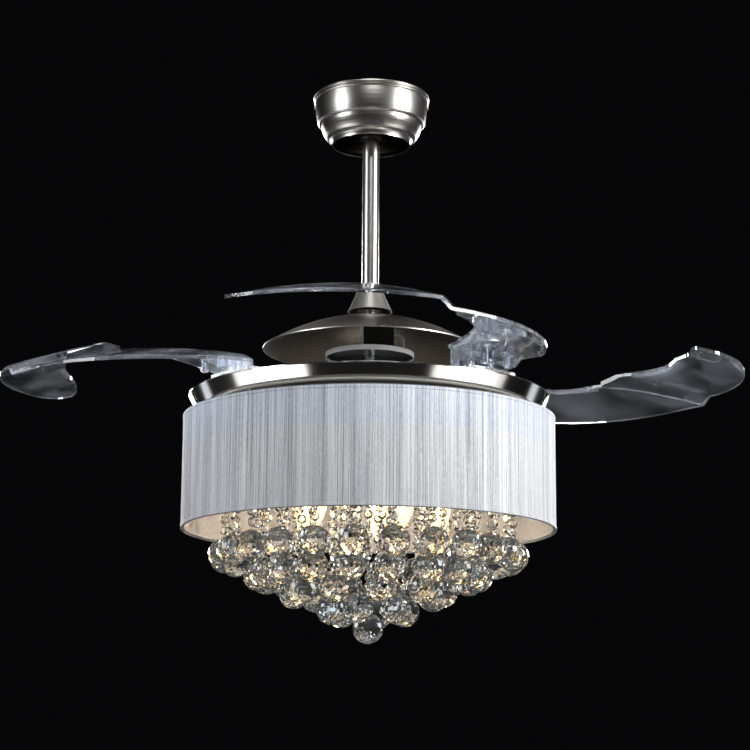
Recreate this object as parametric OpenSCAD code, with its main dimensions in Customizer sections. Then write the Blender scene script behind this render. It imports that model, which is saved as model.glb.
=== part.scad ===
// Ceiling fan with four clear folding blades, a thread-covered drum shade and crystal drops.
// Frame: origin at the centre of the ceiling face, +Z up, so that everything hangs below zero.
// The blades are drawn open; folding turns each one about its own upright pivot.

/* [Ceiling fixing] */
// Distance from the bracket's ends to the canopy's wall
bracket_gap = 6; // [4:0.5:9]
// Width of the ceiling bracket
bracket_w = 40; // [34:1:44]
// Sheet thickness of the bracket
bracket_t = 2.5; // [2:0.1:3]
// Distance between the two ceiling slots
slot_spacing = 88; // [80:1:96]
// Width of each ceiling slot
slot_w = 5.5; // [4:0.1:6.5]
// End-to-end length of each ceiling slot
slot_len = 14; // [10:1:18]
// Radius of the hanger ball
ball_r = 23; // [22:0.5:25]
// Depth of the ball's centre below the ceiling
ball_drop = 30; // [28:1:34]
// Radius of the seat hole that the ball rests in
seat_r = 18; // [17:0.5:20]

/* [Canopy] */
// Radius of the canopy just under its top lip
canopy_r = 84; // [83:0.5:95]
// Height of the canopy
canopy_h = 75; // [72:1:90]
// Sheet thickness of the canopy
canopy_t = 1.2; // [0.8:0.1:2]
// Width of the turned-in bottom, from the canopy's largest radius to its opening
canopy_turn_in = 27; // [24:0.5:32]
// How far the rolled trim ring at the ceiling stands out past the canopy
canopy_lip = 3; // [2:0.1:4]
// Height of the rolled trim ring
trim_ring_h = 9; // [6:0.5:9.5]

/* [Downrod] */
// Outer radius of the downrod
rod_r = 12.5; // [10:0.5:13]
// Wall of the downrod
rod_wall = 2; // [1.5:0.1:3]
// Length from the ball's centre to the rod's lower end
rod_len = 284; // [200:1:600]
// Radius of the two cross pins
pin_r = 3; // [2:0.1:3.5]

/* [Coupling and dish] */
// Height of the flared coupling cover
cover_h = 41; // [36:1:60]
// Radius of the coupling cover's lower rim
cover_r = 32.7; // [28:0.5:45]
// Thickness of the coupling cover
cover_t = 1.2; // [0.8:0.1:1.5]
// Radius of the dish's rim
dish_r = 156.5; // [130:1:164]
// Height of the dish from rim to crown
dish_h = 48; // [44:1:60]
// Sheet thickness of the dish
dish_t = 1.2; // [0.8:0.1:2]
// Bare length of shaft between coupling cover and dish
neck_h = 10; // [6:1:20]

/* [Mounting plate] */
// Radius of the round mounting plate with its pale rim
plate_r = 65.3; // [60:0.5:75]
// Thickness of the mounting plate
plate_t = 3; // [2:0.5:5]
// Distance from the dish's rim down to the top of the mounting plate
plate_sink = 7; // [4:0.5:10]
// Height of the plate's pale rim band
rim_band_h = 7; // [5:0.5:9]
// Width of the receiver box
receiver_w = 44; // [36:1:46]
// Depth of the receiver box
receiver_d = 22; // [18:1:26]
// Height of the receiver box
receiver_h = 40; // [30:1:42]

/* [Motor] */
// Outer radius of the motor housing
motor_r = 100; // [95:1:105]
// Height of the motor housing
motor_h = 62; // [60:1:75]
// Wall of the motor housing
motor_wall = 3; // [2.5:0.1:4]
// Free height between mounting plate and motor
motor_gap = 24; // [21:1:38]
// Outer radius of the fixed hollow shaft
shaft_r = 7.5; // [7:0.1:8]
// Bore radius of the hollow shaft
shaft_bore_r = 5; // [3.5:0.1:5.5]
// Outer radius of the two ball bearings
bearing_r = 17.5; // [16:0.5:20]
// Width of each ball bearing
bearing_w = 11; // [9:0.5:12]
// Number of stator teeth
stator_teeth = 12; // [6:1:16]
// Number of rotor magnets
magnet_count = 16; // [8:2:24]

/* [Blade tray] */
// Distance from the blade pivots out to where the tray's sloping wall starts
tray_margin = 36; // [32:0.5:38]
// How far the sloping wall leans out from the floor to the rim
tray_flare = 14; // [12:0.5:17]
// Depth of the tray from rim to floor
tray_depth = 25.7; // [25:0.1:30]
// Sheet thickness of the tray
tray_t = 2; // [1.5:0.1:2.5]
// Height of the small upright lip round the rim
tray_lip_h = 1.2; // [1:0.1:4]

/* [Blades] */
// Number of blades
blade_count = 4; // [4:1:4]
// Distance of each blade pivot from the fan's axis
pivot_r = 212; // [208:0.5:216]
// Angle that a blade swings between open and folded
fold_angle = 85; // [80:1:88]
// Thickness of the blade
blade_t = 4.5; // [3:0.1:5]
// Downward slope of the blade from its inner to its outer edge, rise over run
blade_slope = 0.33; // [0.3:0.01:0.35]
// Height of the blade's middle surface above the tray rim, at the pivot
blade_lift = 30; // [29:0.5:34]
// Height of the step that lifts the outer part of each blade over its neighbour
blade_step = 12; // [9:0.5:14]
// Length of the step's ramp
step_run = 11; // [8:0.5:14]
// Radius of the screw bosses under the blade root
boss_r = 5.5; // [5:0.1:7]
// Radius of the shoulder pin that each blade turns on
pivot_pin_r = 6; // [5:0.1:7]
// Thickness of the arm plate under each blade root
arm_t = 4; // [3:0.1:5]
// Height of the arm plate's underside above the tray rim
arm_gap = 2; // [1:0.1:3]

/* [Blade gearing] */
// Gear module of the blade linkage
gear_module = 4; // [4:1:4]
// Teeth of each blade's gear
arm_teeth = 14; // [14:1:14]
// Thickness of the gears
gear_t = 6; // [4:0.5:6.5]
// Backlash left between meshing teeth
backlash = 0.5; // [0.3:0.1:1]

/* [Light plate] */
// Free height between the turning tray and the top of the shade
shade_gap = 3.6; // [3.5:0.1:10]
// Radius of the plate that carries the lamps
light_plate_r = 235; // [228:1:250]
// Thickness of the lamp plate and of the crystal plate
light_plate_t = 1.5; // [1:0.1:3]
// Drop from the shade's top edge to the lamp plate
light_plate_drop = 7; // [6:0.5:20]
// Drop from the lamp plate to the crystal plate
crystal_plate_drop = 60; // [50:1:75]

/* [Shade] */
// Outer radius of the drum shade
shade_r = 270; // [262:1:300]
// Height of the drum shade
shade_h = 163.4; // [140:0.1:200]
// Thickness of the layer of threads
thread_t = 1.2; // [0.8:0.1:2]
// Thickness of the inner lining
liner_t = 0.6; // [0.4:0.1:1.2]
// Radius of the wire rings that hold the shade
ring_wire_r = 2; // [1.5:0.1:2.5]
// Height of the trim bands at the shade's edges
trim_h = 5; // [3:0.5:10]

/* [Lamps] */
// Number of candle lamps
lamp_count = 5; // [3:1:5]
// Distance of the lamps from the fan's axis
lamp_ring_r = 105; // [104:1:110]
// Direction of the first lamp
lamp_start = 10; // [0:0.5:20]
// Radius of the lamp sockets
socket_r = 13; // [11:0.5:14]
// Length of the lamp sockets
socket_len = 71; // [66:1:85]
// Largest radius of the flame-shaped bulbs
bulb_r = 17.5; // [14:0.5:18]
// Length of the glass flame below the socket
bulb_len = 90; // [70:1:95]

/* [Crystals] */
// Radius of the large crystal balls
crystal_r = 22.4; // [18:0.1:22.5]
// Radius of the small crystal beads
bead_r = 7; // [5:0.1:8]
// Pitch of the beads along a string
bead_pitch = 15; // [14:0.5:20]
// Distance of the four rings of balls from the axis
crystal_ring_r = [208, 157, 107, 54];
// Number of balls in each ring
crystal_ring_n = [24, 18, 10, 6];
// Drop of each ring's ball centres below the shade's lower edge
crystal_ring_drop = [37, 64.5, 88, 113];
// Drop of the lowest ball's centre below the shade's lower edge
centre_drop = 138.5; // [136:0.5:180]
// Farthest swing of the centre drop
centre_swing = 5; // [2:1:5]

/* [Fits] */
// Radial clearance of parts that turn on each other
running_gap = 0.06; // [0.02:0.01:0.1]
// Radial clearance of parts that are pushed together and stay
seat_gap = 0.05; // [0.02:0.01:0.1]
// Clearance between moving faces
face_gap = 0.5; // [0.3:0.1:0.5]

/* [Hidden] */

$fn = 64;
cut = 1;              // overrun of cutting tools past a face
reach = 600;          // half size of a half-space cutter
blade_rise = 90;      // more than the height of a blade over its arm
thread_hole_r = 1.6;  // pilot bore in a screw boss

// Widths that follow from others
bracket_len = 2 * (canopy_r - bracket_gap);
canopy_mouth_r = canopy_r - canopy_turn_in;
canopy_lip_r = canopy_r + canopy_lip;
tray_floor_r = pivot_r + tray_margin;
tray_r = tray_floor_r + tray_flare;

// Heights, from the ceiling down
ball_z = -ball_drop;
seat_depth = sqrt(ball_r * ball_r - seat_r * seat_r);
seat_top_z = ball_z - seat_depth - 0.3;
rod_low_z = ball_z - rod_len;
yoke_grip = 14;                         // length of rod held in the yoke
yoke_top_z = rod_low_z + yoke_grip;
yoke_low_z = rod_low_z - 16;
cover_low_z = yoke_low_z - 1;
cover_top_z = cover_low_z + cover_h;
dish_top_z = cover_low_z - neck_h;
dish_rim_z = dish_top_z - dish_h;
plate_top_z = dish_rim_z - plate_sink;
motor_top_z = plate_top_z - plate_t - motor_gap - 2;
motor_low_z = motor_top_z - motor_h;
tray_floor_z = motor_low_z;
tray_rim_z = tray_floor_z + tray_depth;
tray_under_z = tray_floor_z - tray_t;
shade_top_z = tray_under_z - shade_gap;
shade_low_z = shade_top_z - shade_h;
lamp_plate_z = shade_top_z - light_plate_drop;
crystal_plate_z = lamp_plate_z - crystal_plate_drop;
crystal_under_z = crystal_plate_z - light_plate_t;
arm_low_z = tray_rim_z + arm_gap;
arm_top_z = arm_low_z + arm_t;
blade_pivot_z = tray_rim_z + blade_lift;
shaft_top_z = rod_low_z - 2;
shaft_low_z = lamp_plate_z - light_plate_t - 12;

// Blade frame: its arc centre lands on the fan's axis when the blade is folded
arc_centre_dist = 2 * pivot_r * sin(fold_angle / 2);
arc_centre_dir = -8;                    // direction of the arc centre in the open pose
pivot_dir = arc_centre_dir + 90 - fold_angle / 2;
arc_centre = arc_centre_dist * [cos(arc_centre_dir), sin(arc_centre_dir)];
pivot = pivot_r * [cos(pivot_dir), sin(pivot_dir)];
blade_low = -38;                        // angle of the blade's far end about its arc centre
blade_high = 129;                       // angle of the blade's root end
// Distances of the two edges outside the pivot circle, from the root to the far end
outer_edge = [55, 56, 58, 61, 60, 54, 48, 50, 47, 42, 38, 35];
inner_edge = [-29, -34, -35, -34, -44, -47, -45, -44, -48, -39, -28, -16];
tip_round = 0.9;                        // where the rounded end starts, as a share of the blade
crease_inset = 8.85;                    // middle of the step, inside the pivot circle
crease_dir = 42.4;                      // and its direction from the arc centre
crease_mid = (pivot_r - crease_inset) * [cos(crease_dir), sin(crease_dir)];
crease_tilt = -4;                       // direction of the step's line
crease_in_x = 68;                       // where the step meets the inner edge
foot_low = 92;                          // root foot: its sector under the blade
foot_high = 126;
wedge_tilt = 17;                        // slope of the foot's underside, down to the arm
arm_low = 105;                          // the arm's sector reaches from here to foot_high
root_clear = 3;                         // distance from the folded root to the next blade's step
end_skew = 18;                          // turn of the root's end from the next blade's step
end_skew_at = 68;                       // and where along the end it turns
corner_at = [119, pivot_r + 38];        // a point on the cut corner outside the root's end
corner_dir = 27.5;                      // and the cut's direction
foot_in_r = pivot_r - 27;
foot_out_r = pivot_r + 40;
arm_out_r = pivot_r + 58;
arm_rim_gap = 4;                        // the open arm ends this far inside the tray's rim
free_boss_at = [[106, pivot_r - 9], [109.5, pivot_r + 27]];
boss_at = [[117, pivot_r - 12], [118, pivot_r + 22]];

// Gearing
sync_teeth = 2 * pivot_r / gear_module - arm_teeth;
arm_pitch_r = gear_module * arm_teeth / 2;
sync_pitch_r = pivot_r - arm_pitch_r;
sync_tooth_step = 360 / round(sync_teeth);
sync_turn = fold_angle * arm_teeth / round(sync_teeth);
gear_top_z = arm_low_z - 3;
gear_low_z = gear_top_z - gear_t;
post_top_z = gear_low_z - 2.5;
hub_low_z = post_top_z + face_gap;
hub_r = 15;
post_r = 11;
flange_t = 3;
flange_r = motor_r + 6;
cap_r = pivot_pin_r + 3.5;
cap_t = 2.5;

function lerp(a, b, t) = a + (b - a) * t;
function spline(p, i, t) =
    let (n = len(p), a = p[max(i - 1, 0)], b = p[i], c = p[min(i + 1, n - 1)], d = p[min(i + 2, n - 1)])
    0.5 * (2 * b + (c - a) * t + (2 * a - 5 * b + 4 * c - d) * t * t
        + (3 * b - 3 * c + d - a) * t * t * t);
function along(p, u) =
    let (n = len(p) - 1, i = min(floor(u * n), n - 1))
    spline(p, i, u * n - i);
function polar(r, a) = [r * cos(a), r * sin(a)];
function arc(r, from, to, steps = 24) =
    [for (i = [0:steps]) polar(r, lerp(from, to, i / steps))];
function sector(r0, r1, from, to) = concat(arc(r1, from, to), arc(r0, to, from));

module at_ring(n, r, start = 0) {
    for (i = [0:n - 1]) rotate([0, 0, start + i * 360 / n]) translate([r, 0, 0]) children();
}

module tube(r, bore, z_low, z_high) {
    translate([0, 0, z_low]) difference() {
        cylinder(r = r, h = z_high - z_low);
        translate([0, 0, -cut]) cylinder(r = bore, h = z_high - z_low + 2 * cut);
    }
}

module rod(r, z_low, z_high) {
    translate([0, 0, z_low]) cylinder(r = r, h = z_high - z_low);
}

// ---------------------------------------------------------------- ceiling and canopy

bracket_leg_x = bracket_len / 2 - 18;
tab_h = 22;
canopy_screw_z = -14.5;
canopy_screw_r = 2;

module ceiling_bracket() {
    color("silver") difference() {
        union() {
            translate([-bracket_len / 2, -bracket_w / 2, -bracket_t])
                cube([bracket_len, bracket_w, bracket_t]);
            for (side = [-1, 1]) {
                translate([side * bracket_leg_x - bracket_t / 2, -bracket_w / 2, seat_top_z - bracket_t])
                    cube([bracket_t, bracket_w, -seat_top_z + bracket_t]);
                translate([side * (bracket_len - bracket_t) / 2 - bracket_t / 2, -bracket_w / 4, -tab_h])
                    cube([bracket_t, bracket_w / 2, tab_h]);
            }
            translate([-bracket_leg_x, -bracket_w / 2, seat_top_z - bracket_t])
                cube([2 * bracket_leg_x, bracket_w, bracket_t]);
        }
        for (side = [-1, 1]) translate([side * slot_spacing / 2, 0, -bracket_t - cut]) {
            for (end = [-1, 1]) translate([end * (slot_len - slot_w) / 2, 0, 0])
                cylinder(r = slot_w / 2, h = bracket_t + 2 * cut);
            translate([-(slot_len - slot_w) / 2, -slot_w / 2, 0])
                cube([slot_len - slot_w, slot_w, bracket_t + 2 * cut]);
        }
        translate([0, 0, seat_top_z - bracket_t - cut]) cylinder(r = seat_r, h = bracket_t + 2 * cut);
        translate([-rod_r - 1, 0, seat_top_z - bracket_t - cut])
            cube([2 * rod_r + 2, bracket_w, bracket_t + 2 * cut]);
        for (side = [0, 180]) rotate([0, 0, side])
            translate([bracket_len / 2 - bracket_t - cut, 0, canopy_screw_z]) rotate([0, 90, 0])
                cylinder(r = canopy_screw_r + seat_gap, h = bracket_t + 2 * cut);
    }
}

module terminal_block() {
    block_t = 11;
    block_h = 18;
    color("ivory") translate([bracket_leg_x + bracket_t / 2, 0, -16]) difference() {
        translate([0, -11, -block_h]) cube([block_t, 22, block_h]);
        for (i = [-1:1]) translate([block_t / 2, i * 7, -block_h - cut]) cylinder(r = 1.8, h = 9);
        for (i = [-1:1]) translate([block_t - 6, i * 7, -5]) rotate([0, 90, 0]) cylinder(r = 2.2, h = 9);
    }
}

// Outer profile of the canopy: two turned bulges with a step between them, above a round shoulder
function canopy_profile(inset) = [
    [canopy_r - inset, -canopy_h * 0.02],
    for (i = [0:6]) [lerp(canopy_r, canopy_r - 3.6, pow(i / 6, 2.6)) - inset, -canopy_h * lerp(0.02, 0.55, i / 6)],
    [canopy_r - 5.6 - inset, -canopy_h * 0.58],
    [canopy_r - 8.6 - inset, -canopy_h * 0.592],
    for (i = [0:5]) [lerp(canopy_r - 8.8, canopy_r - 17, pow(i / 5, 1.6)) - inset,
        -canopy_h * lerp(0.61, 0.86, i / 5)],
    [canopy_r - 19.5 - inset, -canopy_h * 0.88],
    for (i = [1:5]) [lerp(canopy_r - 20, canopy_mouth_r + 1.5, sin(i * 18)) - inset,
        -canopy_h * lerp(0.88, 1, 1 - cos(i * 18)) + inset]
];

module canopy() {
    color("silver") difference() {
        rotate_extrude($fn = 96) polygon(concat(
            canopy_profile(0),
            [[canopy_mouth_r, -canopy_h], [canopy_mouth_r, -canopy_h + canopy_t]],
            [for (i = [len(canopy_profile(0)) - 1:-1:0]) canopy_profile(canopy_t)[i]]
        ));
        for (side = [0, 180]) rotate([0, 0, side])
            translate([canopy_mouth_r, 0, canopy_screw_z]) rotate([0, 90, 0])
                cylinder(r = canopy_screw_r + seat_gap, h = canopy_r);
    }
}

module canopy_trim_ring() {
    ring_t = canopy_lip_r - canopy_r;
    color("gainsboro") rotate_extrude($fn = 96) polygon(concat(
        [[canopy_r - 2 * canopy_t, 0], [canopy_lip_r - ring_t / 2, 0]],
        [for (i = [0:6]) [canopy_lip_r - ring_t / 2 + ring_t / 2 * sin(i * 30),
            -ring_t / 2 - 0.6 + ring_t / 2 * cos(i * 30)]],
        [for (i = [0:6]) [canopy_r + 0.6 + 0.55 * ring_t * sin(i * 30), lerp(-ring_t - 1, -trim_ring_h, i / 6)]],
        [[canopy_r + 0.3, -trim_ring_h], [canopy_r + 0.3, -1.2], [canopy_r - 2 * canopy_t, -1.2]]
    ));
}

module canopy_screws() {
    screw_tip = bracket_len / 2 - bracket_t - 1.5;
    color("gray") for (side = [0, 180]) rotate([0, 0, side]) translate([0, 0, canopy_screw_z])
        rotate([0, 90, 0]) {
            translate([0, 0, screw_tip]) cylinder(r = canopy_screw_r, h = canopy_r - screw_tip + 0.2);
            translate([0, 0, canopy_r + 0.2]) cylinder(r = 3.4, h = 1.6);
        }
}

// ---------------------------------------------------------------- ball, rod and coupling

ball_pin_len = 34;
yoke_r = 15;
yoke_pin_z = rod_low_z + yoke_grip / 2;
ball_bore_r = rod_r + seat_gap;

module hanger_ball() {
    color("dimgray") difference() {
        translate([0, 0, ball_z]) sphere(r = ball_r);
        rod(ball_bore_r, ball_z - ball_r - cut, ball_z + ball_r + cut);
        translate([-ball_r, 0, ball_z]) rotate([0, 90, 0]) cylinder(r = pin_r + seat_gap, h = 2 * ball_r);
    }
}

module rod_pins() {
    color("silver") {
        translate([-ball_pin_len / 2, 0, ball_z]) rotate([0, 90, 0]) cylinder(r = pin_r, h = ball_pin_len);
        translate([0, yoke_r, yoke_pin_z]) rotate([90, 0, 0]) cylinder(r = pin_r, h = 2 * yoke_r);
    }
}

module downrod() {
    color("silver") difference() {
        tube(rod_r, rod_r - rod_wall, rod_low_z, ball_z + 18);
        translate([-2 * rod_r, 0, ball_z]) rotate([0, 90, 0]) cylinder(r = pin_r + seat_gap, h = 4 * rod_r);
        translate([0, 2 * rod_r, yoke_pin_z]) rotate([90, 0, 0]) cylinder(r = pin_r + seat_gap, h = 4 * rod_r);
    }
}

module rod_collar() {
    collar_top = ball_z - ball_r - 2;
    color("tan") tube(rod_r + 4.5, rod_r + seat_gap, collar_top - 9, collar_top);
}

// Slightly flared bell: its radius grows a little faster towards the rim
function cover_radius(t, inset) = lerp(rod_r + 3.7, cover_r, pow(t, 1.2)) - inset;

module coupling_cover() {
    steps = 14;
    color("silver") rotate_extrude($fn = 96) polygon(concat(
        [for (i = [0:steps]) [cover_radius(i / steps, 0), cover_top_z - cover_h * i / steps]],
        [for (i = [steps:-1:1]) [cover_radius(i / steps, cover_t), cover_top_z - cover_h * i / steps]],
        [[cover_radius(1 / steps, cover_t), cover_top_z - cover_t * 1.5],
            [rod_r + seat_gap, cover_top_z - cover_t * 1.5], [rod_r + seat_gap, cover_top_z]]
    ));
}

module shaft_yoke() {
    color("gray") difference() {
        rod(yoke_r, yoke_low_z, yoke_top_z);
        rod(rod_r + seat_gap, rod_low_z, yoke_top_z + cut);
        rod(shaft_r + seat_gap, yoke_low_z - cut, rod_low_z + cut);
        translate([0, yoke_r + cut, yoke_pin_z]) rotate([90, 0, 0])
            cylinder(r = pin_r + seat_gap, h = 2 * yoke_r + 2 * cut);
    }
}

// ---------------------------------------------------------------- dish and mounting plate

dish_sphere_r = (dish_r * dish_r + dish_h * dish_h) / (2 * dish_h);
dish_centre_z = dish_top_z - dish_sphere_r;
post_at_r = 45;
post_dir = -105.5;
support_post_r = 3;
receiver_x = 13;
receiver_y = -27;
dish_screw_at = 17.6;
dish_screw_r = 1.8;

module upper_dish() {
    bead = 2 * dish_t;
    color("silver") {
        difference() {
            translate([0, 0, dish_centre_z]) sphere(r = dish_sphere_r, $fn = 128);
            translate([0, 0, dish_centre_z]) sphere(r = dish_sphere_r - dish_t, $fn = 128);
            translate([0, 0, dish_rim_z - reach]) cylinder(r = reach, h = reach);
            rod(shaft_r + seat_gap, dish_top_z - 3 * dish_t, dish_top_z + cut);
            for (side = [-1, 1]) translate([side * dish_screw_at, 0, 0])
                rod(dish_screw_r + seat_gap, dish_top_z - 4 * dish_t, dish_top_z + cut);
        }
        rotate_extrude($fn = 96) translate([dish_r - dish_t, dish_rim_z]) square([dish_t, bead / 2]);
    }
}

function dish_outside_z(r) = dish_centre_z + sqrt(dish_sphere_r * dish_sphere_r - r * r);
function dish_inside_z(r) = dish_centre_z + sqrt(pow(dish_sphere_r - dish_t, 2) - r * r);

// Domed screws through the dish's crown, each with its hexagon nut below
module dish_screws() {
    head_r = 4.2;
    nut_r = 3.6;
    nut_h = 2.4;
    head_z = dish_outside_z(dish_screw_at - head_r) + 0.05;
    nut_z = dish_inside_z(dish_screw_at + nut_r) - nut_h - 0.05;
    color("gainsboro") for (side = [-1, 1]) translate([side * dish_screw_at, 0, 0]) {
        translate([0, 0, head_z]) rotate_extrude()
            polygon([[0, 0], [head_r, 0], [head_r - 0.3, 0.9], [3, 1.8], [1.6, 2.4], [0, 2.6]]);
        rod(dish_screw_r, nut_z - 1, head_z + 0.5);
        translate([0, 0, nut_z]) cylinder(r = nut_r, h = nut_h, $fn = 6);
    }
}

module support_posts() {
    color("whitesmoke") for (side = [0, 180]) rotate([0, 0, post_dir + side]) translate([post_at_r, 0, 0])
        rod(support_post_r, plate_top_z, dish_inside_z(post_at_r + support_post_r) - 0.1);
}

module receiver_box() {
    lid = 3;
    color("black") translate([receiver_x - receiver_w / 2, receiver_y - receiver_d / 2, plate_top_z]) {
        cube([receiver_w, receiver_d, receiver_h - lid]);
        translate([0.8, 0.8, receiver_h - lid]) cube([receiver_w - 1.6, receiver_d - 1.6, lid]);
    }
}

module receiver_lead() {
    lead_r = 3;
    bend_r = 9;
    side_x = receiver_x + receiver_w / 2;
    top_z = plate_top_z + 24;
    color("lightgray") translate([side_x, receiver_y, 0]) {
        translate([0, 0, top_z]) rotate([0, 90, 0]) cylinder(r = lead_r, h = 4);
        translate([4, 0, top_z - bend_r]) rotate([90, 0, 0]) rotate_extrude(angle = 90, $fn = 32)
            translate([bend_r, 0]) circle(r = lead_r, $fn = 32);
        translate([4 + bend_r, 0, plate_top_z]) cylinder(r = lead_r, h = top_z - bend_r - plate_top_z);
    }
}

module mounting_plate() {
    color("#302a28") difference() {
        rod(plate_r - 2, plate_top_z - plate_t, plate_top_z);
        rod(shaft_r + seat_gap, plate_top_z - plate_t - cut, plate_top_z + cut);
    }
}

module plate_rim() {
    color("white") tube(plate_r, plate_r - 2 + seat_gap, plate_top_z - plate_t / 2 - rim_band_h / 2,
        plate_top_z - plate_t / 2 + rim_band_h / 2);
}

module hollow_shaft() {
    color("lightgray") tube(shaft_r, shaft_bore_r, shaft_low_z, shaft_top_z);
}

module shaft_nuts() {
    nut_r = 13;
    nut_h = 5;
    color("gray") for (z = [dish_inside_z(nut_r) - nut_h - 0.1, plate_top_z,
            lamp_plate_z, lamp_plate_z - light_plate_t - nut_h])
        translate([0, 0, z]) difference() {
            cylinder(r = nut_r, h = nut_h, $fn = 6);
            translate([0, 0, -cut]) cylinder(r = shaft_r + seat_gap, h = nut_h + 2 * cut, $fn = 64);
        }
}

// ---------------------------------------------------------------- motor

shell_split_z = gear_top_z + face_gap;
shell_in_r = motor_r - motor_wall;
magnet_t = 4;
air_gap = 1;
stator_r = shell_in_r - magnet_t - seat_gap - air_gap;
stator_h = 16;
stator_z = (motor_top_z + motor_low_z) / 2;
stator_hub_r = 32;
seat_wall = 4;

module bearing_seat(z_face, direction) {
    // a round pocket that holds one bearing against the shell's end plate
    low = min(z_face, z_face + direction * bearing_w);
    tube(bearing_r + seat_wall, bearing_r + seat_gap, low, low + bearing_w);
}

module motor_upper_shell() {
    plate_low = motor_top_z - motor_wall;
    color("silver") {
        tube(motor_r, shaft_r + 2, plate_low, motor_top_z);
        tube(motor_r, shell_in_r, shell_split_z, plate_low);
        tube(flange_r, shell_in_r, shell_split_z, shell_split_z + flange_t);
        bearing_seat(plate_low, -1);
    }
}

module motor_lower_shell() {
    plate_top = motor_low_z + motor_wall;
    color("gray") difference() {
        union() {
            tube(motor_r, shaft_r + 2, motor_low_z, plate_top);
            tube(motor_r, shell_in_r, plate_top, shell_split_z);
            tube(flange_r, shell_in_r, gear_low_z - face_gap - flange_t, gear_low_z - face_gap);
            bearing_seat(plate_top, 1);
        }
        at_ring(motor_screw_n, motor_screw_ring_r) rod(motor_screw_r + seat_gap, motor_low_z - cut, plate_top + cut);
    }
}

module motor_bearings() {
    bearing_bore_r = shaft_r + running_gap;
    race_t = (bearing_r - bearing_bore_r) / 3;
    color("lightsteelblue") for (z = [motor_top_z - motor_wall - bearing_w, motor_low_z + motor_wall])
        difference() {
            tube(bearing_r, bearing_bore_r, z, z + bearing_w);
            for (face = [z - cut, z + bearing_w - 1])
                tube(bearing_r - race_t, bearing_bore_r + race_t, face, face + 1 + cut);
        }
}

module stator_core() {
    tooth_w = 9;
    shoe_h = 4;
    color("dimgray") difference() {
        union() {
            rod(stator_hub_r, stator_z - stator_h / 2, stator_z + stator_h / 2);
            intersection() {
                rod(stator_r, stator_z - stator_h / 2, stator_z + stator_h / 2);
                union() {
                    at_ring(stator_teeth, 0) translate([stator_hub_r - 2, -tooth_w / 2, stator_z - stator_h / 2])
                        cube([stator_r, tooth_w, stator_h]);
                    for (i = [0:stator_teeth - 1]) rotate([0, 0, i * 360 / stator_teeth])
                        translate([0, 0, stator_z - stator_h / 2]) linear_extrude(stator_h)
                            polygon(sector(stator_r - shoe_h, stator_r + 2, -140 / stator_teeth, 140 / stator_teeth));
                }
            }
        }
        rod(shaft_r + seat_gap, stator_z - stator_h, stator_z + stator_h);
    }
}

module stator_windings() {
    wire_t = 3.5;
    coil_in = stator_hub_r + 3;
    coil_out = stator_r - 7;
    color("chocolate") at_ring(stator_teeth, 0) translate([0, 0, stator_z]) difference() {
        translate([coil_in, -4.6 - wire_t, -stator_h / 2 - wire_t])
            cube([coil_out - coil_in, 9.2 + 2 * wire_t, stator_h + 2 * wire_t]);
        translate([coil_in - cut, -4.6, -stator_h / 2 - seat_gap])
            cube([coil_out - coil_in + 2 * cut, 9.2, stator_h + 2 * seat_gap]);
        for (side = [-1, 1]) rotate([0, 0, side * 180 / stator_teeth])
            translate([0, side > 0 ? 0.2 : -reach - 0.2, -stator_h]) cube([reach, reach, 2 * stator_h]);
    }
}

module rotor_magnets() {
    half = 165 / magnet_count;
    color("#404048") for (i = [0:magnet_count - 1]) rotate([0, 0, i * 360 / magnet_count])
        translate([0, 0, stator_z - stator_h / 2]) linear_extrude(stator_h)
            polygon(sector(shell_in_r - magnet_t - seat_gap, shell_in_r - seat_gap - 0.15, -half, half));
}

motor_screw_n = 6;
motor_screw_ring_r = 80;
motor_screw_r = 2.5;

module motor_screws() {
    color("dimgray") at_ring(motor_screw_n, motor_screw_ring_r) {
        rod(motor_screw_r, tray_under_z, motor_low_z + motor_wall + 2);
        rod(2 * motor_screw_r, tray_under_z - 2, tray_under_z);
    }
}

// ---------------------------------------------------------------- tray, posts and gearing

// A straight wall slopes out from the floor to the upright lip
module blade_tray() {
    wall_top = tray_rim_z - tray_lip_h;
    color("silver") difference() {
        rotate_extrude($fn = 128) polygon([
            [shaft_r + 6, tray_under_z], [tray_floor_r, tray_under_z], [tray_r, wall_top],
            [tray_r, tray_rim_z], [tray_r - tray_t, tray_rim_z], [tray_r - tray_t, wall_top],
            [tray_floor_r - tray_t, tray_floor_z], [shaft_r + 6, tray_floor_z]
        ]);
        at_ring(motor_screw_n, motor_screw_ring_r) rod(motor_screw_r + seat_gap, tray_under_z - cut, tray_floor_z + cut);
        at_ring(blade_count, pivot_r, pivot_dir) rod(4 + seat_gap, tray_under_z - cut, tray_floor_z + cut);
    }
}

module pivot_posts() {
    color("gray") at_ring(blade_count, pivot_r, pivot_dir) difference() {
        union() {
            rod(4, tray_under_z, tray_floor_z);
            rod(post_r, tray_floor_z, post_top_z);
            rod(pivot_pin_r, post_top_z, arm_top_z + face_gap);
        }
        rod(thread_hole_r + 0.5, arm_top_z - 12, arm_top_z + 2);
    }
}

module pivot_caps() {
    cap_z = arm_top_z + face_gap;
    color("silver") at_ring(blade_count, pivot_r, pivot_dir) {
        rod(cap_r, cap_z, cap_z + cap_t);
        rod(thread_hole_r + 0.4, cap_z - 10, cap_z);
    }
}

spring_wire_r = 1.1;
spring_turns = 4;
spring_r = post_r + 0.4 + spring_wire_r;
spring_rise = 2 * spring_wire_r + 0.5;   // rise of one turn

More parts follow.
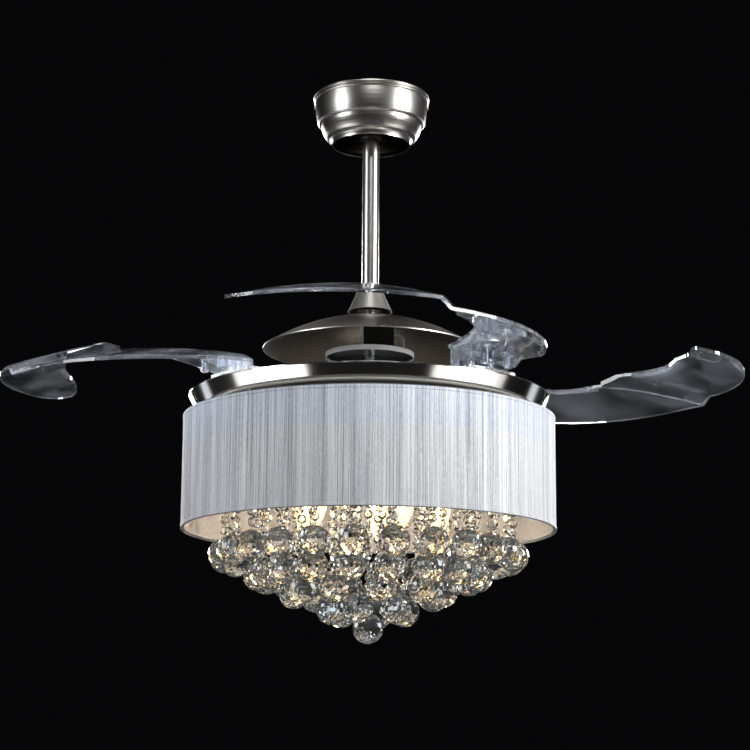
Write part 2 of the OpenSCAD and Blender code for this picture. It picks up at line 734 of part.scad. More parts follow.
// One unbroken wire: a ring of points is carried up a helix and skinned
module spring_coil() {
    steps = 16;
    sides = 6;
    rings = spring_turns * steps;
    points = [for (i = [0:rings]) let (a = 360 * i / steps, z = spring_rise * i / steps)
        for (j = [0:sides - 1]) let (b = 360 * j / sides, r = spring_r + spring_wire_r * cos(b))
            [r * cos(a), r * sin(a), z + spring_wire_r * sin(b)]];
    skin = [for (i = [0:rings - 1]) for (j = [0:sides - 1])
        let (p = i * sides + j, q = i * sides + (j + 1) % sides)
            each [[p, q, p + sides], [q, q + sides, p + sides]]];
    caps = [for (j = [1:sides - 2]) each [[0, j + 1, j],
        [rings * sides, rings * sides + j, rings * sides + j + 1]]];
    polyhedron(points, concat(skin, caps));
}

module return_springs() {
    color("darkgray") at_ring(blade_count, pivot_r, pivot_dir)
        translate([0, 0, tray_floor_z + spring_wire_r + 0.1]) spring_coil();
}

function involute(base, t) = base * [cos(t) + t * PI / 180 * sin(t), sin(t) - t * PI / 180 * cos(t)];
// One tooth flank from root to tip, as angle about the gear's centre against radius
function flank(base, r) =
    let (roll = r > base ? sqrt(r * r / (base * base) - 1) * 180 / PI : 0, p = involute(base, roll))
    atan2(p[1], p[0]);
function tooth(teeth, m, slack) =
    let (pitch = m * teeth / 2, base = pitch * cos(20), root = pitch - 1.15 * m, tip = pitch + 0.8 * m,
        half = 90 / teeth - slack / 2 / pitch * 180 / PI, centre = half + flank(base, pitch),
        radii = [for (i = [0:4]) lerp(max(base, root), tip, i / 4)])
    concat([polar(root - 1, -centre)], [for (r = radii) polar(r, flank(base, r) - centre)],
        [for (i = [4:-1:0]) polar(radii[i], centre - flank(base, radii[i]))], [polar(root - 1, centre)]);

module sync_gear() {
    teeth = round(sync_teeth);
    root = gear_module * teeth / 2 - 1.15 * gear_module;
    lead = 3;
    trail = lead + ceil(sync_turn / sync_tooth_step);
    color("gainsboro") difference() {
        union() {
            rod(root, gear_low_z, gear_top_z);
            for (k = [0:blade_count - 1]) rotate([0, 0, pivot_dir + k * 360 / blade_count])
                for (i = [-trail:lead]) rotate([0, 0, (i + 0.5) * sync_tooth_step])
                    translate([0, 0, gear_low_z]) linear_extrude(gear_t)
                        polygon(tooth(teeth, gear_module, backlash));
        }
        rod(motor_r + running_gap, gear_low_z - cut, gear_top_z + cut);
        at_ring(12, (root + motor_r) / 2, 15) rod(14, gear_low_z - cut, gear_top_z + cut);
    }
}

// ---------------------------------------------------------------- blades

function ray_angle(u) = lerp(blade_high, blade_low, u);
// Half width of the blade at a share of its length, drawn in to a round end
function end_round(u) = u < tip_round ? 1 : pow(1 - pow((u - tip_round) / (1 - tip_round), 2.4), 0.46);
function edge_radius(u, side) = let (outer = along(outer_edge, u), inner = along(inner_edge, u))
    pivot_r + (outer + inner) / 2 + side * end_round(u) * (outer - inner) / 2;
// Shares of the length at which the outline is drawn, closer together round the end
outline_at = concat([for (i = [0:26]) tip_round * i / 26], [for (i = [1:9]) lerp(tip_round, 1, sin(i * 10))]);
function edge_points(side) = [for (u = outline_at) polar(edge_radius(u, side), ray_angle(u))];

module blade_frame(k) {
    // children are drawn about the blade's own arc centre
    rotate([0, 0, -k * 360 / blade_count]) translate([arc_centre[0], arc_centre[1], 0]) children();
}

// Part of the blade's conical surface, between two offsets from its middle surface
module cone_layer(low, high) {
    r0 = pivot_r - 72;
    r1 = pivot_r + 78;
    z0 = blade_pivot_z + blade_slope * (pivot_r - r0);
    z1 = blade_pivot_z + blade_slope * (pivot_r - r1);
    rotate_extrude($fn = 128) polygon([[r0, z0 + low], [r1, z1 + low], [r1, z1 + high], [r0, z0 + high]]);
}

module blade_prism() {
    last = len(outline_at) - 1;
    inner = edge_points(-1);
    translate([0, 0, arm_low_z]) linear_extrude(blade_rise)
        polygon(concat(edge_points(1), [for (i = [last - 1:-1:0]) inner[i]]));
}

// The half of space above (+1) or below (-1) the ramp of the step; the root lies above it
module ramp_side(side, shift) {
    mid_r = norm(crease_mid);
    fall = atan(blade_slope * crease_mid[0] / mid_r);
    translate([crease_mid[0], crease_mid[1], blade_pivot_z + blade_slope * (pivot_r - mid_r) + blade_step / 2])
        rotate([0, 0, crease_tilt]) rotate([0, fall, 0]) rotate([-atan(blade_step / step_run), 0, 0])
            translate([-reach, -reach, side > 0 ? shift : shift - reach]) cube([2 * reach, 2 * reach, reach]);
}

// All of the root beyond the place where the step meets the inner edge
module root_space(grow) {
    translate([-reach, 0, -reach]) cube([reach + crease_in_x + grow, reach, reach]);
}

// Everything beyond the root's slanting end, which stays clear of the next blade's step, and its corner
module beyond_root(inset = 0) {
    rotate([0, 0, 90]) translate([crease_mid[0], crease_mid[1], 0]) rotate([0, 0, crease_tilt])
        translate([end_skew_at, -step_run / 2 - root_clear, 0]) rotate([0, 0, end_skew]) beyond_line(inset);
    translate(polar(corner_at[1], corner_at[0])) rotate([0, 0, corner_dir]) beyond_line(inset);
}

module beyond_line(inset) {
    translate([-reach, -inset, -reach]) cube([2 * reach, reach, reach]);
}

module foot_outline(inset) {
    turn = inset / foot_in_r * 180 / PI;
    linear_extrude(blade_rise)
        polygon(sector(foot_in_r + inset, foot_out_r - inset, foot_low + turn, foot_high - turn));
}

// Upright walls under the root, cut to a wedge, that carry the blade on its arm
module root_foot() {
    wall = 3;
    intersection() {
        cone_layer(-blade_rise, 0);
        difference() {
            translate([0, 0, arm_top_z]) foot_outline(0);
            difference() {
                translate([0, 0, arm_top_z - cut]) foot_outline(wall);
                beyond_root(wall);
            }
            beyond_root();
            // room for the pivot's cap under the root
            translate(pivot - arc_centre)
                rod(cap_r + 2 * face_gap, arm_top_z - cut, arm_top_z + face_gap + cap_t + 2 * face_gap);
        }
        rotate([0, 0, foot_low]) translate([0, 0, blade_pivot_z - blade_t / 2]) rotate([-wedge_tilt, 0, 0])
            translate([-reach, -reach, 0]) cube([2 * reach, 2 * reach, reach]);
    }
}

// A curved sheet with a step: a thick conical layer, hollowed above the root and below the far part
module blade_sheet() {
    difference() {
        intersection() {
            blade_prism();
            cone_layer(-blade_t / 2, blade_step + blade_t / 2);
        }
        intersection() {
            cone_layer(blade_t / 2, 3 * blade_step);
            union() {
                ramp_side(1, blade_t / 2);
                root_space(0);
            }
        }
        difference() {
            cone_layer(-3 * blade_step, blade_step - blade_t / 2);
            ramp_side(1, -blade_t / 2);
            root_space(1);
        }
        beyond_root();
    }
}

module blade(k) {
    color([0.85, 0.9, 0.95, 0.45]) blade_frame(k) difference() {
        union() {
            blade_sheet();
            intersection() {
                cone_layer(-blade_rise, 0);
                for (b = concat(boss_at, free_boss_at))
                    translate(polar(b[1], b[0])) rod(boss_r, arm_top_z, 0);
            }
            root_foot();
        }
        for (b = concat(boss_at, free_boss_at))
            translate(polar(b[1], b[0])) rod(thread_hole_r, arm_top_z - cut, arm_top_z + 13);
    }
}

module arm_gear_phase() {
    // one tooth points at the fan's axis, into a space of the large gear
    rotate([0, 0, pivot_dir + 180]) children();
}

module blade_arm(k) {
    pivot_here = pivot - arc_centre;
    color([0.9, 0.92, 0.95, 0.6]) blade_frame(k) difference() {
        union() {
            // the open arm stays inside the tray's rim
            intersection() {
                translate([0, 0, arm_low_z]) linear_extrude(arm_t)
                    polygon(sector(foot_in_r, arm_out_r, arm_low, foot_high));
                translate(-arc_centre) rod(tray_r - arm_rim_gap, arm_low_z - cut, arm_top_z + cut);
            }
            translate(pivot_here) {
                rod(hub_r, hub_low_z, arm_top_z);
                arm_gear_phase() translate([0, 0, gear_low_z]) {
                    cylinder(r = arm_pitch_r - 1.15 * gear_module, h = gear_t);
                    linear_extrude(gear_t) for (i = [0:arm_teeth - 1]) rotate([0, 0, i * 360 / arm_teeth])
                        polygon(tooth(arm_teeth, gear_module, backlash));
                }
            }
        }
        translate(pivot_here) rod(pivot_pin_r + running_gap, hub_low_z - cut, arm_top_z + cut);
        for (b = boss_at) translate(polar(b[1], b[0])) {
            rod(thread_hole_r + 0.4, arm_low_z - cut, arm_top_z + cut);
            rod(3.6, arm_low_z - cut, arm_low_z + 1.7);
        }
    }
}

module blade_screws(k) {
    color("silver") blade_frame(k) for (b = boss_at) translate(polar(b[1], b[0])) {
        rod(thread_hole_r - 0.05, arm_low_z, arm_top_z + 10);
        rod(3.4, arm_low_z, arm_low_z + 1.6);
    }
}

// ---------------------------------------------------------------- shade

frame_r = shade_r - thread_t - liner_t - ring_wire_r - 0.6;
spoke_n = 4;
tab_z = lamp_plate_z - light_plate_t;

module wire_ring(z) {
    translate([0, 0, z]) rotate_extrude($fn = 128) translate([frame_r, 0]) circle(r = ring_wire_r, $fn = 24);
}

module shade_top_frame() {
    ring_z = shade_top_z - ring_wire_r - 1;
    color("white") {
        wire_ring(ring_z);
        at_ring(spoke_n, 0, 45) {
            translate([frame_r - 1, 0, tab_z - ring_wire_r]) cylinder(r = ring_wire_r, h = ring_z - tab_z + ring_wire_r);
            translate([light_plate_r - 14, 0, tab_z - ring_wire_r]) rotate([0, 90, 0])
                cylinder(r = ring_wire_r, h = frame_r - light_plate_r + 14);
        }
    }
}

module shade_bottom_ring() {
    color("white") wire_ring(shade_low_z + ring_wire_r + 1);
}

module shade_threads() {
    color("white") tube(shade_r - 0.5, shade_r - 0.5 - thread_t, shade_low_z, shade_top_z);
}

module shade_liner() {
    liner_r = shade_r - 0.5 - thread_t - 0.02;
    color("ivory") tube(liner_r, liner_r - liner_t, shade_low_z, shade_top_z);
}

module shade_trims() {
    trim_bore = shade_r - 0.5 + 0.02;
    color("white") {
        tube(shade_r, trim_bore, shade_low_z, shade_low_z + trim_h);
        tube(shade_r, trim_bore, shade_top_z - trim_h, shade_top_z);
    }
}

module lamp_plate() {
    color("white") difference() {
        rod(light_plate_r, lamp_plate_z - light_plate_t, lamp_plate_z);
        rod(shaft_r + seat_gap, lamp_plate_z - light_plate_t - cut, lamp_plate_z + cut);
    }
}

// ---------------------------------------------------------------- lamps

socket_low_z = lamp_plate_z - light_plate_t - socket_len;

module lamp_sockets() {
    color("white") at_ring(lamp_count, lamp_ring_r, lamp_start) difference() {
        rod(socket_r, socket_low_z, lamp_plate_z - light_plate_t);
        rod(socket_r - 3, socket_low_z - cut, socket_low_z + 20);
    }
}

// Flame-shaped bulb: a short neck, a round belly and a drawn-out tip
function bulb_radius(t) = t < 0.35
    ? lerp(socket_r - 4, bulb_r, sin(t / 0.35 * 90))
    : bulb_r * pow(cos((t - 0.35) / 0.65 * 90), 0.75) + 0.4;

module lamp_bulbs() {
    steps = 20;
    color([1, 0.95, 0.8, 0.5]) at_ring(lamp_count, lamp_ring_r, lamp_start) rotate_extrude($fn = 48) polygon(concat(
        [[0, socket_low_z + 18], [socket_r - 4, socket_low_z + 18]],
        [for (i = [0:steps]) [bulb_radius(i / steps), socket_low_z - bulb_len * i / steps]],
        [[0, socket_low_z - bulb_len]]
    ));
}

// ---------------------------------------------------------------- crystals

stud_n = 4;
stud_ring_r = 191;
stud_r = 3;
string_r = 0.9;
loop_depth = 5;
crystal_edge = 10;      // plate left outside the outer ring of strings

module crystal_plate() {
    color("silver") difference() {
        rod(crystal_ring_r[0] + crystal_edge, crystal_under_z, crystal_plate_z);
        at_ring(lamp_count, lamp_ring_r, lamp_start) rod(socket_r + 1, crystal_under_z - cut, crystal_plate_z + cut);
        at_ring(stud_n, stud_ring_r, 45) rod(stud_r - 1 + seat_gap, crystal_under_z - cut, crystal_plate_z + cut);
    }
}

module crystal_plate_studs() {
    color("silver") at_ring(stud_n, stud_ring_r, 45) {
        rod(stud_r, crystal_plate_z, lamp_plate_z - light_plate_t);
        rod(stud_r - 1, crystal_under_z - 3, crystal_plate_z);
        rod(stud_r + 1.5, crystal_under_z - 3, crystal_under_z);
    }
}

function ring_z(i) = shade_low_z - crystal_ring_drop[i];
// The third ring keeps clear of the lamps by hanging its strings between them
ring_turn = [9.5, 1, 90 / lamp_count, 5];
function ring_start(i) = i < 2 ? ring_turn[i] : lamp_start + ring_turn[i];

// A wire with double-cone beads from the plate down into the top of a ball
module bead_string(z_low, z_high) {
    count = floor((z_high - z_low - bead_r) / bead_pitch);
    rotate_extrude($fn = 24) polygon(concat(
        [[0, z_high], [string_r, z_high]],
        [for (i = [0:count - 1]) let (z = z_high - bead_pitch * (i + 0.6))
            each [[string_r, z + bead_r * 0.75], [bead_r, z + bead_r * 0.22],
                [bead_r, z - bead_r * 0.22], [string_r, z - bead_r * 0.75]]],
        [[string_r, z_low], [0, z_low]]
    ));
}

module ring_of_strings(i) {
    color([0.9, 0.9, 0.9, 0.6]) at_ring(crystal_ring_n[i], crystal_ring_r[i], ring_start(i))
        bead_string(ring_z(i) + crystal_r - loop_depth + 1, crystal_under_z);
}

module crystal_ball() {
    difference() {
        sphere(r = crystal_r);
        translate([0, 0, crystal_r - loop_depth]) cylinder(r = string_r + 0.3, h = loop_depth + cut);
    }
}

module ring_of_balls(i) {
    color([0.9, 0.95, 1, 0.5]) at_ring(crystal_ring_n[i], crystal_ring_r[i], ring_start(i))
        translate([0, 0, ring_z(i)]) crystal_ball();
}

module bead_strings_outer() {
    ring_of_strings(0);
    ring_of_strings(1);
}

module bead_strings_inner() {
    ring_of_strings(2);
    ring_of_strings(3);
}

module crystal_balls_outer() {
    ring_of_balls(0);
    ring_of_balls(1);
}

module crystal_balls_inner() {
    ring_of_balls(2);
    ring_of_balls(3);
}

drop_z = shade_low_z - centre_drop;

module drop_string() {
    color([0.9, 0.9, 0.9, 0.6]) bead_string(drop_z + crystal_r - loop_depth + 1, crystal_under_z - face_gap);
}

module drop_ball() {
    color([0.9, 0.95, 1, 0.5]) translate([0, 0, drop_z]) crystal_ball();
}

ceiling_bracket();
terminal_block();
canopy();
canopy_trim_ring();
canopy_screws();
hanger_ball();
rod_pins();
downrod();
rod_collar();
coupling_cover();
shaft_yoke();
upper_dish();
dish_screws();
support_posts();
receiver_box();
receiver_lead();
mounting_plate();
plate_rim();
hollow_shaft();
shaft_nuts();
stator_core();
stator_windings();
motor_upper_shell();
motor_lower_shell();
rotor_magnets();
motor_bearings();
motor_screws();
blade_tray();
pivot_posts();
pivot_caps();
return_springs();
sync_gear();
blade(0);  // blade_1
blade(1);  // blade_2
blade(2);  // blade_3
blade(3);  // blade_4
blade_arm(0);  // blade_arm_1
blade_arm(1);  // blade_arm_2
blade_arm(2);  // blade_arm_3
blade_arm(3);  // blade_arm_4
blade_screws(0);  // blade_screws_1
blade_screws(1);  // blade_screws_2
blade_screws(2);  // blade_screws_3
blade_screws(3);  // blade_screws_4
lamp_plate();
shade_top_frame();
shade_bottom_ring();
shade_threads();
shade_liner();
shade_trims();
lamp_sockets();
lamp_bulbs();
crystal_plate();
crystal_plate_studs();
bead_strings_outer();
bead_strings_inner();
crystal_balls_outer();
crystal_balls_inner();
drop_string();
drop_ball();
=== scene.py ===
"""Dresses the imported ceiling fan: materials, crystals, bead strings, bulbs, threads, light and camera.

Lengths are in millimetres in the part's own frame. They become metres where a mesh, a light or a texture
takes them.
"""
import math
import random

import bmesh
import bpy
from mathutils import Matrix, Quaternion, Vector


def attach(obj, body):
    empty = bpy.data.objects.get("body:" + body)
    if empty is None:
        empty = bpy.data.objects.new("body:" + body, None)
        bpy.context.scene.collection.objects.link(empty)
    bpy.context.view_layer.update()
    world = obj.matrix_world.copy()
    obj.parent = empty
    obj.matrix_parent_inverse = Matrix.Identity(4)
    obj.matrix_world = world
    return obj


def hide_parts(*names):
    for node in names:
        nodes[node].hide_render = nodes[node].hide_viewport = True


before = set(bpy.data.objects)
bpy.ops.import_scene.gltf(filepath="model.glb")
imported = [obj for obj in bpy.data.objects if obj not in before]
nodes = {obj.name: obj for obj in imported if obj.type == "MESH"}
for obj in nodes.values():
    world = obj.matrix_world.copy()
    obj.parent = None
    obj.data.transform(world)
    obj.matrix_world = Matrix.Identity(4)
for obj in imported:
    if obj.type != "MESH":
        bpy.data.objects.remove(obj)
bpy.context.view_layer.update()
random.seed(7)
MM = 0.001


# ------------------------------------------------------------------ sizes and places

def node_box(name):
    """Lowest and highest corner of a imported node, to a tenth of a millimetre."""
    axes = list(zip(*nodes[name].bound_box))
    low = [round(min(axis) / MM, 1) for axis in axes]
    high = [round(max(axis) / MM, 1) for axis in axes]
    return low, high


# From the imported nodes
(_, _, SHADE_LOW), (SHADE_R, _, SHADE_TOP) = node_box("shade_trims")
(_, _, PLATE_LOW), (_, _, PLATE_TOP) = node_box("crystal_plate")
SOCKET_LOW = node_box("lamp_sockets")[0][2]
BULB_LOW = node_box("lamp_bulbs")[0][2]
BULB_LEN = SOCKET_LOW - BULB_LOW
BEAD_R = node_box("drop_string")[1][0]
BALL_R = node_box("drop_ball")[1][0]
DROP_Z = node_box("drop_ball")[0][2] + BALL_R
CANOPY_LOW = node_box("canopy")[0][2]

# As in the part's source
TRIM_H = 5.0                                # height of the drum's bound edges
LAMP_COUNT, LAMP_R, LAMP_START = 5, 105.0, 10.0
SOCKET_R, BULB_R = 13.0, 17.5
PITCH = 15.0                                # from bead to bead of a string
HOLE = 5.0                                  # depth of the hole on top of each ball that the string ends in
RING_R = (208.0, 157.0, 107.0, 54.0)        # the four tiers of hanging balls, from the outside in
RING_N = (24, 18, 10, 6)
RING_Z = (-693.0, -720.5, -744.0, -769.0)
RING_START = (9.5, 1.0, 28.0, 15.0)         # degrees, as LAMP_START

# Looks that change at a height
PAINTED_LIGHT_TOP = -545.0                         # below this the threads carry painted light and glints of the lit inside, above it painted shade
LIT_LIP = 1.4                               # height of the ceiling cover's bright lip under its inside, which is painted dark as painted shade
LOOK_CHANGE = 0.2                           # half the height over which one look turns into the other


# ------------------------------------------------------------------ materials

class Shader:
    """A node material built round one Principled shader."""

    def __init__(self, name, colour=(0.8, 0.8, 0.8), **values):
        self.material = bpy.data.materials.new(name)
        self.material.use_nodes = True
        self.tree = self.material.node_tree
        self.bsdf = self.tree.nodes["Principled BSDF"]
        self.bsdf.inputs["Base Color"].default_value = (*colour, 1)
        for key, value in values.items():
            self.bsdf.inputs[key.replace("_", " ")].default_value = value
        self._place = None

    def node(self, kind, **settings):
        made = self.tree.nodes.new(kind)
        for key, value in settings.items():
            setattr(made, key, value)
        return made

    def link(self, start, end):
        self.tree.links.new(start, end)

    def into(self, value, socket):
        self.link(value, self.bsdf.inputs[socket])

    def place(self):
        """Object coordinates, which for every piece are the part's own frame in metres."""
        if self._place is None:
            self._place = self.node("ShaderNodeTexCoord").outputs["Object"]
        return self._place

    def parts(self, vector):
        """The three parts of a vector."""
        split = self.node("ShaderNodeSeparateXYZ")
        self.link(vector, split.inputs[0])
        return split.outputs

    def vector_math(self, operation, first, second=None):
        """A vector node; second may be a socket or three numbers."""
        made = self.node("ShaderNodeVectorMath", operation=operation)
        self.link(first, made.inputs[0])
        if isinstance(second, tuple):
            made.inputs[1].default_value = second
        elif second is not None:
            self.link(second, made.inputs[1])
        return made

    def round_place(self, stretch):
        """(radius, turn, height) round the upright axis, each times its own factor."""
        x, y, z = self.parts(self.place())
        flat = self.node("ShaderNodeCombineXYZ")
        self.link(x, flat.inputs[0])
        self.link(y, flat.inputs[1])
        turn = self.node("ShaderNodeMath", operation="ARCTAN2")
        self.link(y, turn.inputs[0])
        self.link(x, turn.inputs[1])
        out = self.node("ShaderNodeCombineXYZ")
        self.link(self.vector_math("LENGTH", flat.outputs[0]).outputs["Value"], out.inputs[0])
        self.link(turn.outputs[0], out.inputs[1])
        self.link(z, out.inputs[2])
        return self.vector_math("MULTIPLY", out.outputs[0], stretch).outputs[0]

    def noise(self, vector, scale=1.0, detail=3.0, rough=0.5):
        """A grain between 0 and 1, mostly near a half."""
        made = self.node("ShaderNodeTexNoise")
        made.inputs["Scale"].default_value = scale
        made.inputs["Detail"].default_value = detail
        made.inputs["Roughness"].default_value = rough
        self.link(vector, made.inputs["Vector"])
        return made.outputs["Fac"]

    def ramp(self, value, *stops):
        """Colours at stops (place, colour) along a value from 0 to 1."""
        made = self.node("ShaderNodeValToRGB")
        while len(made.color_ramp.elements) < len(stops):
            made.color_ramp.elements.new(0.5)
        for element, (at, colour) in zip(made.color_ramp.elements, stops):
            element.position = at
            element.color = (*colour, 1)
        self.link(value, made.inputs[0])
        return made.outputs[0]

    def shades(self, grain, dark, light):
        """From dark to light along a grain."""
        return self.ramp(grain, (0.3, dark), (0.7, light))

    def span(self, value, low, high, from_low=0.3, from_high=0.7):
        """A value from from_low to from_high, stretched to low to high and held there."""
        made = self.node("ShaderNodeMapRange")
        limits = {"From Min": from_low, "From Max": from_high, "To Min": low, "To Max": high}
        for key, number in limits.items():
            made.inputs[key].default_value = number
        self.link(value, made.inputs["Value"])
        return made.outputs[0]

    def bump(self, height, strength, distance):
        made = self.node("ShaderNodeBump")
        made.inputs["Strength"].default_value = strength
        made.inputs["Distance"].default_value = distance
        self.link(height, made.inputs["Height"])
        self.into(made.outputs[0], "Normal")

    def mix(self, share, first, second, blend="MIX"):
        """The first colour where share is 0, the second where it is 1; each is a socket or a colour."""
        made = self.node("ShaderNodeMix", data_type="RGBA", blend_type=blend)
        factor, colours = made.inputs[0], made.inputs[6:8]
        if isinstance(share, float):
            factor.default_value = share
        else:
            self.link(share, factor)
        for socket, value in zip(colours, (first, second)):
            if isinstance(value, tuple):
                socket.default_value = (*value, 1)
            else:
                self.link(value, socket)
        return made.outputs[2]

    def sum(self, *terms):
        """The sum of (value, factor) pairs."""
        total = None
        for value, factor in terms:
            term = value if factor == 1 else self.times(value, factor)
            if total is None:
                total = term
                continue
            made = self.node("ShaderNodeMath", operation="ADD")
            self.link(total, made.inputs[0])
            self.link(term, made.inputs[1])
            total = made.outputs[0]
        return total

    def times(self, value, factor):
        """A value times a number or another value."""
        made = self.node("ShaderNodeMath", operation="MULTIPLY")
        self.link(value, made.inputs[0])
        if isinstance(factor, float):
            made.inputs[1].default_value = factor
        else:
            self.link(factor, made.inputs[1])
        return made.outputs[0]

    def true_normal(self):
        """Which way the surface looks, without its bumps."""
        return self.node("ShaderNodeNewGeometry").outputs["True Normal"]

    def faces_down(self):
        """1 on surfaces that look down, 0 elsewhere."""
        _, _, upward = self.parts(self.true_normal())
        return self.span(upward, 1.0, 0.0, from_low=-0.30, from_high=-0.18)

    def faces_in(self):
        """1 on surfaces that look towards the upright axis, 0 elsewhere."""
        flat = self.vector_math("MULTIPLY", self.place(), (1.0, 1.0, 0.0))
        out = self.vector_math("NORMALIZE", flat.outputs[0])
        outward = self.vector_math("DOT_PRODUCT", self.true_normal(), out.outputs[0]).outputs["Value"]
        return self.span(outward, 1.0, 0.0, from_low=-0.15, from_high=-0.05)

    def above(self, height):
        """1 above a height, 0 below it."""
        _, _, z = self.parts(self.place())
        low, high = (height - LOOK_CHANGE) * MM, (height + LOOK_CHANGE) * MM
        return self.span(z, 0.0, 1.0, from_low=low, from_high=high)


def turned_metal(name, dark, light, rough, spread, anisotropic=0.0, lines=900.0, bump=0.25,
                 shaded_inside=None, inside_above=None, underside=None):
    """Metal with fine brush lines round the upright axis; its inside may be painted dark as painted shade,
    and its underside may be darker.
    """
    look = Shader(name, light, Metallic=1.0, Roughness=rough, Anisotropic=anisotropic)
    if anisotropic:
        look.into(look.node("ShaderNodeTangent", direction_type="RADIAL", axis="Z").outputs[0], "Tangent")
    fine = look.noise(look.round_place((lines, 2.5, lines)), 1.0, 4.0, 0.6)
    cloudy = look.noise(look.place(), 9.0, 2.0)
    colour = look.shades(fine, dark, light)
    # painted shade: surfaces that face the axis take the dark inside colour, only above a height if one is
    # given
    if shaded_inside:
        share = look.faces_in()
        if inside_above is not None:
            share = look.times(share, look.above(inside_above))
        colour = look.mix(share, colour, shaded_inside)
    if underside:
        colour = look.mix(look.faces_down(), colour, underside)
    look.into(colour, "Base Color")
    look.into(look.span(cloudy, rough - spread, rough + spread), "Roughness")
    look.bump(fine, bump, 0.0002)
    return look.material


def cast_metal(name, dark, light, rough, scale=60.0, bump=0.2):
    """Metal with an even grain."""
    look = Shader(name, light, Metallic=1.0, Roughness=rough)
    grain = look.noise(look.place(), scale, 5.0, 0.6)
    look.into(look.shades(grain, dark, light), "Base Color")
    look.into(look.span(grain, rough - 0.06, rough + 0.1), "Roughness")
    look.bump(grain, bump, 0.0003)
    return look.material


def moulded(name, dark, light, rough, scale=300.0, bump=0.15):
    """Plastic, paint or rubber with an even grain."""
    look = Shader(name, light, Roughness=rough)
    grain = look.noise(look.place(), scale)
    look.into(look.shades(grain, dark, light), "Base Color")
    look.into(look.span(grain, max(rough - 0.05, 0.02), rough + 0.07), "Roughness")
    look.bump(grain, bump, 0.0002)
    return look.material


def acrylic(name, tint, rough, clear):
    """Polished acrylic with the ripple of a moulding; clear says how clear its faint smears are."""
    look = Shader(name, tint, Roughness=rough, Transmission_Weight=1.0, IOR=1.49)
    smear = look.noise(look.place(), 14.0, 4.0)
    look.into(look.span(smear, 0.99, clear, from_low=0.42, from_high=0.68), "Transmission Weight")
    look.into(look.span(smear, rough, rough + 0.06), "Roughness")
    look.bump(look.noise(look.place(), 16.0, 2.0), 0.2, 0.002)
    return look.material


def glowing(name, colour, glow, strength, **values):
    """A shader that gives off light of the colour glow."""
    look = Shader(name, colour, Emission_Strength=strength, **values)
    look.bsdf.inputs["Emission Color"].default_value = (*glow, 1)
    return look


def painted_glow_edge(name, colour):
    """The rounded rim of clear acrylic, pale, with a faint painted glow that stands in for the light the
    rim gathers.
    """
    # painted light: the rim glows faintly in its own colour
    look = glowing(name, colour, colour, 0.22, Roughness=0.4)
    look.into(look.span(look.noise(look.place(), 90.0), 0.32, 0.5), "Roughness")
    return look.material


def cut_crystal(name):
    """Cut glass: every facet has its own faint tint and faint glow, painted light that stands in for the
    colours and light the cut throws about.
    """
    look = glowing(name, (0.96, 0.96, 0.95), (0.88, 0.94, 1.0), 1.0,
                   Roughness=0.0, Transmission_Weight=1.0, IOR=1.6)
    facet_spread, place_spread = (37.0, 41.0, 43.0), 25.0
    moved = look.vector_math("SCALE", look.place())
    moved.inputs["Scale"].default_value = place_spread
    facet = look.vector_math("MULTIPLY_ADD", look.true_normal(), facet_spread)
    look.link(moved.outputs[0], facet.inputs[2])
    pick = look.noise(facet.outputs[0], 1.0, 0.0)
    # painted light: the golden and cool tints stand in for the coloured sparkle the cut throws
    cool, pale, clear = (0.60, 0.80, 1.0), (0.90, 0.96, 1.0), (1.0, 1.0, 1.0)
    bright, golden, smoky = (0.98, 1.0, 1.0), (1.0, 0.84, 0.50), (0.92, 0.97, 1.0)
    stops = (0.0, cool), (0.30, pale), (0.40, clear), (0.58, bright), (0.65, golden), (0.71, smoky)
    look.into(look.ramp(pick, *stops), "Base Color")
    look.into(look.span(pick, 0.0, 0.04), "Roughness")
    # painted light: some facets glow faintly
    look.into(look.span(pick, 0.018, 0.0, from_low=0.35, from_high=0.60), "Emission Strength")
    return look.material


def thread_colour(look):
    """Colour of upright silver-white threads, with their streaks and fuzz, painted light and glints from
    the lit inside below one height, and painted shade above it.
    """
    streak = look.noise(look.round_place((0.0, 150.0, 3.0)), 1.0, 4.0, 0.8)
    broad = look.noise(look.round_place((0.0, 16.0, 0.8)), 1.0, 2.0, 0.6)
    fuzz = look.noise(look.round_place((0.0, 420.0, 130.0)), 1.0, 3.0, 0.7)
    total = look.sum((streak, 1), (broad, 0.35), (fuzz, 0.40))
    share = look.span(total, 0.0, 1.0, from_low=0.70, from_high=1.05)
    shadow, dull = (0.22, 0.235, 0.275), (0.46, 0.48, 0.525)
    light, shine = (0.74, 0.755, 0.79), (0.97, 0.975, 0.985)
    plain = look.ramp(share, (0.0, shadow), (0.3, dull), (0.6, light), (1.0, shine))
    # painted light: warm tint and golden glints below one height stand for the lit inside; the cooler,
    # duller tint above it is painted shade
    speck = look.span(look.noise(look.place(), 210.0, 1.0), 0.0, 1.0, from_low=0.66, from_high=0.72)
    patch = look.span(look.noise(look.place(), 11.0, 2.0), 0.0, 1.0, from_low=0.45, from_high=0.62)
    lamplit_below_plate, glint, shaded_above_plate = (0.93, 0.92, 0.905), (1.0, 0.95, 0.78), (0.875, 0.90, 0.945)
    lit = look.mix(look.times(speck, patch), lamplit_below_plate, glint)
    painted_inside_light = look.mix(look.above(PAINTED_LIGHT_TOP), lit, shaded_above_plate)
    return look.mix(1.0, plain, painted_inside_light, blend="MULTIPLY"), streak, fuzz


def thread_layer(name):
    """Upright silver-white threads, each with its own brightness."""
    look = Shader(name, (0.82, 0.84, 0.88), Roughness=0.55, Sheen_Weight=0.3, Sheen_Roughness=0.4)
    colour, streak, fuzz = thread_colour(look)
    look.into(colour, "Base Color")
    look.into(look.span(fuzz, 0.42, 0.7), "Roughness")
    look.bump(streak, 0.5, 0.0006)
    return look.material


